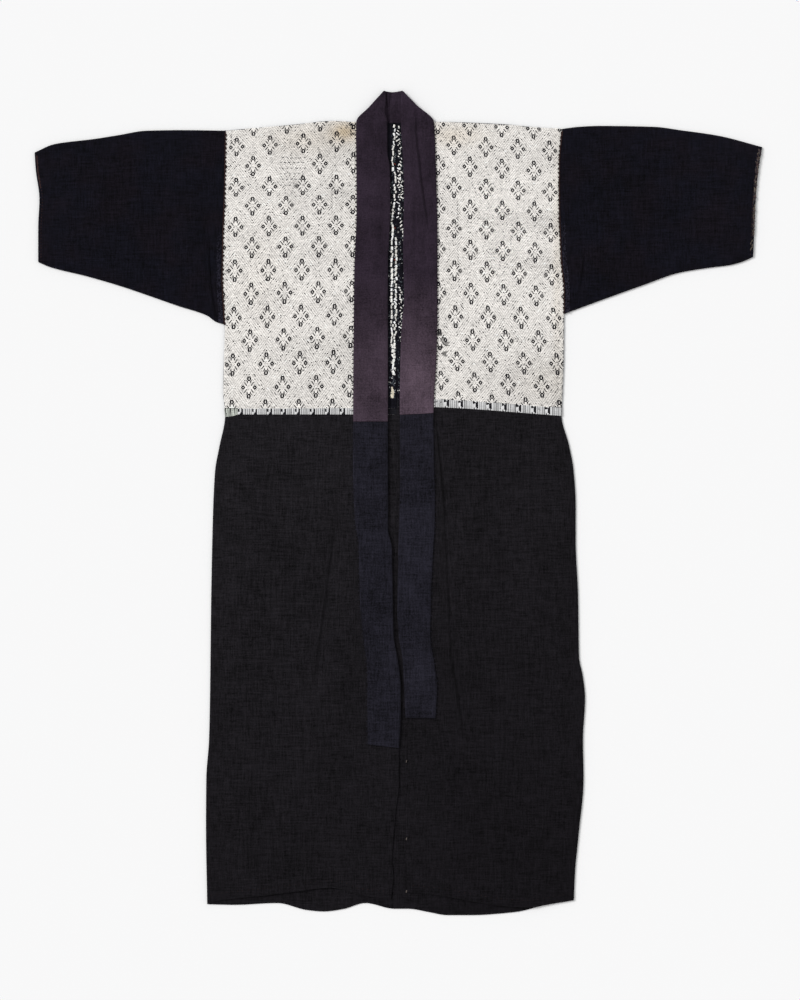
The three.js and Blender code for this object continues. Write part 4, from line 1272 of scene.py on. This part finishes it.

# One quarter of a diamond, charted from its middle outwards. The ground shows at each mark:
# at # in the four little rings, at o beside the light dot in each ring, and at x in the dashes between.
QUARTER_CHART = (
    ".....oo.oo",
    "......###.",
    "...x...o..",
    "....x.....",
    "..o..x....",
    "..x.......",
    "##.o......",
    ".oo.......",
    ".oo.......",
    "##........",
)
MARK_REACH = {".": 0.0, "#": 0.77, "o": 0.46, "x": 0.74}
QUARTER = np.array([[MARK_REACH[mark] for mark in row] for row in QUARTER_CHART])
FIELD_STARTS = 11
FIELD_STEP = 3
FIELD_EDGES = {"right": (-288, -72), "left": (272, 62)}
COUNT_SPAN = {"right": (-40, 240), "left": (-110, 160)}
EDGE_INSET = 0.2

# Places without a diamond, (side, row, number), where the coat was mended
MENDED = {("right", 1, 1)}


def yoke_places(side):
    """Functions that give a stitch's place from its thread count and its row."""
    table = DIAMOND_ROWS[side]
    at_side = line_through([(row, y) for row, y, _ in table])
    at_collar = line_through([(row, y) for row, _, y in table])
    first = line_through(FIRST_DIAMOND[side])
    width = line_through(REPEAT_WIDTH[side])
    side_x, collar_x = FIELD_EDGES[side]

    def place(count, row):
        k = row / HALF_REPEAT
        x = first(k) + count * width(k) / REPEAT_COUNTS
        y = mix(at_side(k), at_collar(k), (x - side_x) / (collar_x - side_x))
        return x, y

    return place


def ground_shows(side, counts, row):
    """For thread counts along a row: how far the ground shows to each side, and where floats meet."""
    dark = np.zeros(len(counts))
    nearest = np.full(len(counts), 999)
    plain = np.zeros(len(counts), bool)
    for k in (row // HALF_REPEAT, row // HALF_REPEAT + 1):
        down = abs(row - HALF_REPEAT * k)
        offset = HALF_REPEAT * (k % 2)
        number = np.round((counts - offset) / REPEAT_COUNTS).astype(int)
        across = np.abs(counts - offset - REPEAT_COUNTS * number)
        mended = np.array([(side, k, n) in MENDED for n in number])
        plain |= mended & (across + down < FIELD_STARTS)
        nearest = np.minimum(nearest, across + down)
        if down < len(QUARTER):
            inside = across < len(QUARTER)
            charted = QUARTER[down, np.minimum(across, len(QUARTER) - 1)]
            dark = np.maximum(dark, charted * inside * ~mended)
    in_field = (nearest >= FIELD_STARTS) | (nearest == FIELD_STARTS - 3 * FIELD_STEP) | plain
    meets = ((nearest - FIELD_STARTS) % FIELD_STEP == 0) & in_field
    return dark, meets


def float_runs(counts, dark, meets, rng):
    """The floats along one row, as (start, end) in counts."""
    runs, start, last_reach = [], None, 0.5
    for count, reach, is_meeting in zip(counts, dark, meets):
        if reach:
            if start is not None:
                runs.append((start, count - reach))
            start, last_reach = None, reach
            continue
        if start is None:
            start = count - 1 + last_reach
        elif is_meeting:
            slack = rng.uniform(0.05, 0.25) + 0.45 * (rng.random() < 0.08)
            runs.append((start, count - slack))
            start = count + slack
    if start is not None:
        runs.append((start, counts[-1] + 0.5))
    return [(a, b) for a, b in runs if b - a > 0.3]


# Tan stains on the yokes, each (x, y, width, height, strength)
STAINS = {
    "right": ((-150, 600, 60, 24, 0.10), (-88, 612, 24, 16, 0.42), (-230, 380, 40, 70, 0.03)),
    "left": ((90, 606, 46, 18, 0.16), (240, 200, 40, 30, 0.05), (262, 400, 8, 180, 0.10)),
}

# The worn place beside the wearer's left collar, where grey yarn shows through: (x, y, size)
WORN_SPOTS = (
    (68, 280, 4.2), (74, 266, 3.4), (80, 262, 4.0), (70, 256, 3.0), (76, 246, 4.4), (73, 272, 3.0),
)


def yarn_colours(side, x, y, base, rng):
    """The yarn's colour at each float: uneven white, with tan stains and the worn place."""
    shade = 1 + 0.08 * rng.standard_normal(len(x))
    shade += 0.02 * unevenness(5, 60)(x, y) + 0.02 * unevenness(6, 17)(x, y)
    shade = np.clip(shade, 0.66, 1.25)
    if side == "left":
        for spot_x, spot_y, size in WORN_SPOTS:
            near = np.hypot(x - spot_x, y - spot_y) < size
            shade = np.where(near, shade * rng.uniform(0.10, 0.5, len(x)), shade)
    warm = np.zeros(len(x))
    for stain_x, stain_y, wide, high, strength in STAINS[side]:
        warm += strength * np.exp(-(((x - stain_x) / wide) ** 2) - ((y - stain_y) / high) ** 2)
    tint = np.stack([1 - 0.5 * warm, 1 - 0.75 * warm, 1 - 1.1 * warm], 1)
    return np.clip(np.asarray(base)[None] * shade[:, None] * tint, 0.01, 0.97)


def yoke_floats(side, layer, left, right, base, seed):
    """All the floats of one face of a yoke: their starts, ends, widths and colours."""
    rng = np.random.default_rng(seed)
    place = yoke_places(side)
    counts = np.arange(*COUNT_SPAN[side])
    starts, ends, widths = [], [], []
    for row in range(-2 * HALF_REPEAT, 14 * HALF_REPEAT):
        xs, ys = place(counts, row)
        inside = (xs > left(ys) + 0.5) & (xs < right(ys) - 0.5)
        inside &= (ys < layer.lines["top"](xs) - 0.4) & (ys > layer.lines["bottom"](xs) + 0.6)
        if not inside.any():
            continue
        dark, meets = ground_shows(side, counts, row)
        pitch = abs(place(0, row + 1)[1] - place(0, row)[1])
        chosen = np.flatnonzero(inside)
        for part in np.split(chosen, np.flatnonzero(np.diff(chosen) > 1) + 1):
            for a, b in float_runs(counts[part], dark[part], meets[part], rng):
                (x1, y1), (x2, y2) = place(a, row), place(b, row)
                starts.append((max(x1, float(left(y1)) + EDGE_INSET), y1))
                ends.append((min(x2, float(right(y2)) - EDGE_INSET), y2))
                widths.append(pitch)
    starts, ends = np.array(starts), np.array(ends)
    wobble = 0.06 * rng.standard_normal((len(starts), 1))
    starts[:, 1:] += wobble
    ends[:, 1:] += wobble + 0.04 * rng.standard_normal((len(starts), 1))
    x, y = ((starts + ends) / 2).T
    colours = yarn_colours(side, x, y, base, rng)
    return starts, ends, np.array(widths) * rng.uniform(0.93, 1.04, len(starts)), colours


# The mended place on the wearer's right yoke: rows of short dark stitches, every other row shifted
MEND_THREAD = (0.030, 0.032, 0.042)
MEND_SPAN = (-194, -150)
MEND_FOOT = 524
MEND_ROWS = 6
MEND_PITCH = 9


def mending(face, material):
    """The rows of dark running stitches that mend the wearer's right yoke."""
    sewing = Sewing(71)
    for i in range(MEND_ROWS):
        y = MEND_FOOT + MEND_PITCH * i + sewing.rng.uniform(-1, 1)
        first = MEND_SPAN[0] + 3 * (i % 2)
        line = level((MEND_SPAN[0], y), (MEND_SPAN[1], y))
        sewing.row(line, 0, first, MEND_SPAN[1], 7.4, 3.4, 0, 1.3, MEND_THREAD, True)
    return sewing.piece("yoke_mend", 1.0, face, material, "stitched_cotton")


class NORAGI_OT_yokes(bpy.types.Operator):
    """Build the stitched yokes: dark ground cloth over each shoulder, and the darning on it"""

    bl_idname = "noragi.yokes"
    bl_label = "Stitched yokes"

    def execute(self, context):
        colours = coat_colours()
        rise_rng = np.random.default_rng(9)
        ground = cloth_material("yoke_ground", (0.0060, 0.0056, 0.0090), speckle=0.6)
        yarn = cloth_material(
            "darning_yarn", (1, 1, 1), yarn=True, speckle=0.03, blotch=0.06, weave_depth=0.01,
            rough=1.0, sheen=0.0,
        )
        for side in SIDES:
            layers = [YOKE_FRONTS[side], YOKE_BACKS[side]]
            if side == "right":
                layers.append(SEAM_ALLOWANCE)
            cloth = cloth_piece(f"yoke_ground_{side}", layers, cell_size(), shell_size(), ground, 0.2)
            placed(cloth, (f"front_yoke_{side}", f"back_yoke_{side}"))
            front, back = YOKE_FRONTS[side], YOKE_BACKS[side]
            starts, ends, widths, shades = yoke_floats(
                side, front, *STITCHED_EDGES[side], colours.yarn_white, 7
            )
            rise = coat_sizes().float_rise / MM * rise_rng.uniform(0.85, 1.1, len(starts))
            floats = yarn_piece(
                f"yoke_stitching_{side}", starts, ends, widths, rise, front.face, yarn, shades
            )
            placed(floats)
            lines = back.lines["left"], back.lines["right"]
            under = flat_yarn(
                f"yoke_underside_{side}", *yoke_floats(side, back, *lines, colours.yarn_white, 8), yarn
            )
            placed(under)
            if side == "right":
                mending(front.face, yarn)
            inside_marks(side, yarn)
        return {"FINISHED"}


# The border's dark accents: the middle of each, x, and how its yarns are cut, from left to right, as
# shares of the border's height where the light yarn shows
ACCENTS = {
    "right": (
        (-259.6, -236.5, -211.7, -188.6, -165.6, -140.8, -116.0, -91.2),
        (((0.0, 0.45), (0.90, 1.0)), ((0.0, 0.38), (0.92, 1.0)), ((0.18, 1.0),), ((0.36, 0.95),),
         (), (), ((0.0, 1.0),)),
    ),
    "left": (
        (80.2, 103.2, 128.0, 150.4, 175.2, 199.0, 223.7, 246.8),
        (((0.0, 0.66),), ((0.20, 0.68),), ((0.03, 0.74), (0.92, 1.0)), ((0.0, 0.22), (0.84, 1.0)),
         (), ((0.0, 0.12),), ((0.0, 1.0),)),
    ),
}
RIB_PITCH = 1.72
RIB_WIDTH = RIB_PITCH * 0.98
RIB_RISE = 0.75
ACCENT_PITCH = 1.45
RAGGED_END = -264
RAGGED_TINT = (0.84, 0.88, 0.80)
ACCENT_HALF_WIDTH = 5.2


def border_yarns(side, layer, line_left, line_right, base, rng):
    """The upright yarns of a border strip: starts, ends, widths and colours."""
    centres, cuts = ACCENTS[side]
    starts, ends, widths, colours = [], [], [], []

    def lay(x, low, high, width, shade):
        foot, head = layer.lines["bottom"](x) + 0.3, layer.lines["top"](x) + 0.7
        lean, tint = 0.15 * rng.standard_normal(), np.ones(3)
        if x < RAGGED_END:
            lean, tint = rng.normal(0, 1.1), np.array(RAGGED_TINT)
            low -= rng.uniform(0, 0.16)
            shade = rng.uniform(0.7, 1.5)
        starts.append((x, mix(foot, head, low)))
        ends.append((x + lean, mix(foot, head, high)))
        widths.append(width)
        colours.append(np.asarray(base) * shade * tint)

    middle_y = float(layer.lines["bottom"](0))
    x, number = float(line_left(middle_y)) + 1.2, 0
    while x < float(line_right(middle_y)) - 1.0:
        near = min(abs(x - centre) for centre in centres)
        if near > ACCENT_HALF_WIDTH:
            pale = number % 2 == 0
            shade = rng.uniform(0.95, 1.5) if pale else rng.uniform(0.42, 0.85)
            if rng.random() < 0.12:
                split = rng.uniform(0.3, 0.7)
                lay(x, 0.0, split - 0.04, RIB_WIDTH, shade)
                lay(x, split + 0.04, 1.0, RIB_WIDTH, shade * 0.9)
            else:
                lay(x, 0.0, 1.0, RIB_WIDTH, shade)
        x += RIB_PITCH
        number += 1
    for centre in centres:
        for i, column in enumerate(cuts):
            place = centre + (i - 3) * ACCENT_PITCH
            for low, high in column:
                lay(place, low, high, 1.5, rng.uniform(1.25, 1.55))
    return np.array(starts), np.array(ends), np.array(widths), np.array(colours)


class NORAGI_OT_borders(bpy.types.Operator):
    """Build the ribbed borders that end the yokes"""

    bl_idname = "noragi.borders"
    bl_label = "Ribbed borders"

    def execute(self, context):
        ground = cloth_material("border_ground", (0.010, 0.0095, 0.0125))
        yarn = cloth_material("border_yarn", (1, 1, 1), yarn=True, speckle=0.2, blotch=0.1, weave_depth=0.05)
        for side in SIDES:
            rng = np.random.default_rng(60 + len(side))
            layer = BORDER_FRONTS[side]
            cloth = cloth_piece(
                f"border_ground_{side}", (layer, BORDER_BACKS[side]), cell_size(), shell_size(), ground, 0.2
            )
            placed(cloth, (f"front_border_{side}", f"back_border_{side}"))
            starts, ends, widths, colours = border_yarns(
                side, layer, *STITCHED_EDGES[side], coat_colours().rib_grey, rng
            )
            rise = np.full(len(starts), RIB_RISE)
            ribs = yarn_piece(f"border_ribs_{side}", starts, ends, widths, rise, layer.face, yarn, colours)
            placed(ribs)
            back = BORDER_BACKS[side]
            lines = back.lines["left"], back.lines["right"]
            under = flat_yarn(
                f"border_underside_{side}", *border_yarns(side, back, *lines, coat_colours().rib_grey, rng),
                yarn,
            )
            placed(under)
        return {"FINISHED"}


def deeper_below(tree, x, y):
    """How deep the lower panels' colour is: more towards the hem and on the wearer's left."""
    down = ramp(tree, y, 0.15, -0.60, 0.0, 0.68)
    return maths(tree, "ADD", down, ramp(tree, x, -0.05, 0.10, 0.0, 0.34))


# The tacks that catch the wearer's left front edge below its collar, (x, y)
TACKS = ((13.2, -425.9), (13.2, -553.9), (13.2, -640.4))
TACK_THREAD = (0.10, 0.085, 0.075)
HEM_REACH = {"right": (-308, -20), "left": (24, 284)}


def skirt_sewing(side, thread):
    """The hem stitches of one front, and the tacks on the left one's free edge."""
    sewing = Sewing(101 if side == "right" else 102)
    hem = FRONT_HEM_RIGHT if side == "right" else FRONT_HEM_LEFT
    dark_thread = np.array(coat_colours().seam_thread) * 0.4
    sewing.row(hem, SKIRT_HEM - 1.0, *HEM_REACH[side], 8.6, 2.2, 12, 0.7, dark_thread, True)
    if side == "left":
        for x, y in TACKS:
            sewing.stitch((x - 0.4, y - 2.0), (x + 0.4, y + 2.0), 1.4, TACK_THREAD)
    return sewing.piece(f"hem_stitches_{side}", 0.35, SKIRT_FRONTS[side].face, thread, "brown_hemp")


class NORAGI_OT_skirts(bpy.types.Operator):
    """Build the four lower panels, one loom width each"""

    bl_idname = "noragi.skirts"
    bl_label = "Lower panels"

    def execute(self, context):
        hemp = cloth_material(
            "skirt_hemp", coat_colours().skirt_hemp, speckle=0.85, blotch=0.6,
            other=coat_colours().skirt_deep, other_where=deeper_below,
        )
        thread = sewing_thread()
        for side in SIDES:
            front = cloth_piece(
                f"skirt_front_{side}", (SKIRT_FRONTS[side],), cell_size(), shell_size(), hemp
            )
            placed(front, (f"front_skirt_{side}",))
            back = cloth_piece(
                f"skirt_back_{side}", (SKIRT_BACKS[side],), cell_size() * 1.4, shell_size(), hemp
            )
            placed(back, (f"back_skirt_{side}",))
            skirt_sewing(side, thread)
        return {"FINISHED"}


# How far the cover's inner edge is drawn back at the neck, (y, distance)
NECK_OPENING = upright((530, 0), (556, -1.0), (578, -4.6), (640, -4.0), (660, -1.0), (690, 0))


def opened(inner):
    """The cover's inner line, drawn back where the neck shows a dark opening beside it."""
    return lambda y: inner(y) + NECK_OPENING(np.clip(y, 530, 690))


class CollarStrip:
    """A folded strip of the collar: round at both edges, thick, with soft folds along it."""

    def __init__(self, side, top, bottom, floor, wall, key, seed, roll=0.0):
        outer = COLLAR_OUTER_RIGHT if side == "right" else COLLAR_OUTER_LEFT
        inner = COLLAR_INNER_RIGHT if side == "right" else COLLAR_INNER_LEFT
        if roll:
            inner = opened(inner)
        left, right = (outer, inner) if side == "right" else (inner, outer)
        self.shape = panel_shape(left, right, top, bottom)
        self.left, self.right = left, right
        self.floor, self.wall, self.key, self.roll = floor, wall, key, roll
        self.broad = unevenness(seed, 70)
        self.narrow = unevenness(seed + 40, 16)

    def face(self, x, y):
        """The height of the strip's upper face."""
        near = np.clip(np.minimum(x - self.left(y), self.right(y) - x), 0, None)
        folded = sum(fold_height(fold, x, y) for fold in FOLDS[self.key])
        creased = sum(fold_height(crease, x, y) for crease in CREASES[self.key])
        uneven = 0.30 * self.broad(x, y) + 0.17 * self.narrow(x, y)
        lift = np.maximum(folded + creased + uneven, 0.2 - self.wall) * smooth_step(near / FOLD_RUN)
        radius = 3.2 + self.roll * smooth_step((y - 545) / 30) * (self.right(y) - x < x - self.left(y))
        round_share = 0.35 + 0.65 * np.sqrt(1 - (1 - np.clip(near / radius, 0, 1)) ** 2)
        return self.floor + self.wall * round_share + lift


def collar_wall(strip, cell, first=0):
    """Points and faces of a strip of the collar, whose underside rounds up to its edges."""
    corners = [strip.shape(u, v) for u in (0.0, 1.0) for v in (0.0, 1.0)]
    xs, ys = zip(*corners)
    across = steps(max(max(xs) - min(xs), 40), cell * 0.3, (0.5, 1.2, 2.2, 3.4))
    along = steps(max(ys) - min(ys), cell, (0.8, 2.0))
    u, v = np.meshgrid(across, along)
    x, y = strip.shape(u, v)
    top = strip.face(x, y)
    near = np.clip(np.minimum(x - strip.left(y), strip.right(y) - x), 0, None)
    foot = strip.floor + 0.3 * strip.wall * (1 - smooth_step(near / 2.2))
    points = np.concatenate([np.stack([x, y, z], 2).reshape(-1, 3) for z in (top, foot)])
    return points, wall_faces(*top.shape, first)


COLLAR_STRIPS = {
    "cover_right": CollarStrip(
        "right", COVER_TOP, COVER_END_RIGHT, COVER_FLOOR, COVER_WALL, "collar_cover_right", 51, 6.0
    ),
    "cover_left": CollarStrip(
        "left", COVER_TOP, COVER_END_LEFT, COVER_FLOOR, COVER_WALL, "collar_cover_left", 52
    ),
    "band_right": CollarStrip(
        "right", COVER_END_RIGHT, BAND_END_RIGHT, BAND_FLOOR, BAND_WALL, "collar_band_right", 53
    ),
    "band_left": CollarStrip(
        "left", COVER_END_LEFT, BAND_END_LEFT, BAND_FLOOR, BAND_WALL, "collar_band_left", 54
    ),
}


def faded_below(tree, x, y):
    """How faded the cover is: from breast height down, and more on the wearer's left."""
    down = ramp(tree, y, 0.38, 0.20, 0.0, 1.0)
    return maths(tree, "MULTIPLY", down, ramp(tree, x, -0.02, 0.02, 0.46, 0.95))


def edge_stitches(side, thread):
    """The stitches that hold the collar's outer edge down on the front, all the way along."""
    outer = COLLAR_OUTER_RIGHT if side == "right" else COLLAR_OUTER_LEFT
    outwards = -1 if side == "right" else 1
    colours = coat_colours()
    sewing = Sewing(111 if side == "right" else 112)
    sewing.row(outer, outwards * 0.9, 152, 618, 7.0, 2.6, 76, 1.7, np.array(colours.plum) * 0.5)
    foot = COLLAR_FOOT[side] + 8
    sewing.row(outer, outwards * 0.9, foot, 128, 9.0, 2.2, 70, 1.1, np.array(colours.navy) * 1.5)
    fronts = over(YOKE_TOPS[side], SKIRT_FRONTS[side])
    return sewing.piece(f"collar_edge_stitches_{side}", 0.4, fronts, thread, "plum_cotton")


class NORAGI_OT_collar(bpy.types.Operator):
    """Build the collar: a plum cover round the neck and a navy band below each of its ends"""

    bl_idname = "noragi.collar"
    bl_label = "Collar"

    def execute(self, context):
        colours = coat_colours()
        plum = cloth_material(
            "collar_cover", colours.plum, thread=0.9, weave_depth=0.06, blotch=1.3, speckle=0.7, slubs=0.9,
            other=colours.faded_plum, other_where=faded_below,
        )
        navy = cloth_material(
            "collar_bands", colours.navy, thread=0.9, weave_depth=0.08, blotch=1.1, speckle=0.9, slubs=2.0
        )
        thread = sewing_thread()
        cell = cell_size() * 0.8
        for side in SIDES:
            cover = mesh_object(
                f"collar_cover_{side}_cloth", *collar_wall(COLLAR_STRIPS[f"cover_{side}"], cell), plum
            )
            placed(cover, (f"collar_cover_{side}",))
            edge_stitches(side, thread)
            band = mesh_object(
                f"collar_band_{side}_cloth", *collar_wall(COLLAR_STRIPS[f"band_{side}"], cell), navy
            )
            placed(band, (f"collar_band_{side}",))
        foot = level((-75, SHOULDER_Y - NECK_LAP), (65, SHOULDER_Y - NECK_LAP))
        neck = Layer(
            COLLAR_OUTER_RIGHT, COLLAR_OUTER_LEFT, NECK_TOP, foot, wall=COVER_WALL - 0.2,
            creases=FOLDS["collar_neck"], ripple=0.1, seed=55,
        )
        piece = cloth_piece("collar_cover_neck_cloth", (neck,), 2.0, 2.4, plum)
        placed(piece, ("collar_cover_neck",))
        return {"FINISHED"}


# The floor lies just under the coat and reaches past the edges of every view
FLOOR_LEVEL = -0.4
FLOOR_REACH = 30000
FLOOR_GREY = 0.9

# The light comes from the upper left of the picture, high and soft, under an even pale sky
SKY_STRENGTH = 0.64
SUN_STRENGTH = 1.98
SUN_SPREAD = 24
SUN_TILT = (-22, -46)

# The camera looks straight down, and its picture is this much of the floor in height
CAMERA_HEIGHT = 4000
CAMERA_PLACE = (2.64, 4.8)
PICTURE_HEIGHT = 1650
SENSOR = 36


class NORAGI_OT_stage(bpy.types.Operator):
    """Build the pale floor, the soft light and the camera"""

    bl_idname = "noragi.stage"
    bl_label = "Floor, light and camera"

    def execute(self, context):
        scene = context.scene
        corners = ((-1, -1), (1, -1), (1, 1), (-1, 1))
        points = np.array([(FLOOR_REACH * x, FLOOR_REACH * y, FLOOR_LEVEL) for x, y in corners])
        paper = bpy.data.materials.new("floor_paper")
        paper.use_nodes = True
        shader = paper.node_tree.nodes["Principled BSDF"]
        shader.inputs["Base Color"].default_value = (FLOOR_GREY, FLOOR_GREY, FLOOR_GREY, 1)
        shader.inputs["Roughness"].default_value = 1.0
        shader.inputs["Specular IOR Level"].default_value = 0.0
        floor = mesh_object("floor", points, np.array([[0, 1, 2, 3]]), paper)

        world = bpy.data.worlds.new("studio")
        world.use_nodes = True
        world.node_tree.nodes["Background"].inputs["Color"].default_value = (1, 1, 1, 1)
        world.node_tree.nodes["Background"].inputs["Strength"].default_value = SKY_STRENGTH
        scene.world = world
        sun = bpy.data.lights.new("window", "SUN")
        sun.energy = SUN_STRENGTH
        sun.angle = math.radians(SUN_SPREAD)
        lamp = bpy.data.objects.new("window", sun)
        lamp.rotation_euler = (math.radians(SUN_TILT[0]), math.radians(SUN_TILT[1]), 0)
        scene.collection.objects.link(lamp)

        camera = bpy.data.cameras.new("overhead")
        camera.sensor_width = SENSOR
        camera.lens = SENSOR * CAMERA_HEIGHT / PICTURE_HEIGHT
        camera.clip_end = 100
        eye = bpy.data.objects.new("overhead", camera)
        eye.location = (CAMERA_PLACE[0] * MM, CAMERA_PLACE[1] * MM, CAMERA_HEIGHT * MM)
        scene.collection.objects.link(eye)
        scene.camera = eye
        scene.view_settings.view_transform = "Standard"

        # The finest stitches blur under the slower prefilter
        scene.cycles.denoising_prefilter = "FAST"
        return {"FINISHED"}


class NORAGI_PT_pieces(bpy.types.Panel):
    """Lists the pieces and their settings"""

    bl_label = "Noragi"
    bl_idname = "NORAGI_PT_pieces"
    bl_space_type = "VIEW_3D"
    bl_region_type = "UI"
    bl_category = "Noragi"

    def draw(self, context):
        layout = self.layout
        for operator in OPERATORS:
            layout.operator(operator.bl_idname)
        for group in (context.scene.noragi_colours, context.scene.noragi_sizes):
            for key in group.__annotations__:
                layout.prop(group, key)


OPERATORS = (
    NORAGI_OT_sleeves,
    NORAGI_OT_yokes,
    NORAGI_OT_borders,
    NORAGI_OT_skirts,
    NORAGI_OT_collar,
    NORAGI_OT_stage,
)
CLASSES = (CoatColours, CoatSizes, *OPERATORS, NORAGI_PT_pieces)


def register():
    """Adds the classes, and the coat's settings to each scene."""
    for cls in CLASSES:
        bpy.utils.register_class(cls)
    bpy.types.Scene.noragi_colours = bpy.props.PointerProperty(type=CoatColours)
    bpy.types.Scene.noragi_sizes = bpy.props.PointerProperty(type=CoatSizes)


def unregister():
    """Takes the settings and the classes away again."""
    del bpy.types.Scene.noragi_sizes
    del bpy.types.Scene.noragi_colours
    for cls in reversed(CLASSES):
        bpy.utils.unregister_class(cls)


def main():
    """Builds the coat piece by piece."""
    register()
    for operator in OPERATORS:
        name = operator.bl_idname.split(".")[1]
        getattr(bpy.ops.noragi, name)()


if __name__ == "__main__":
    main()
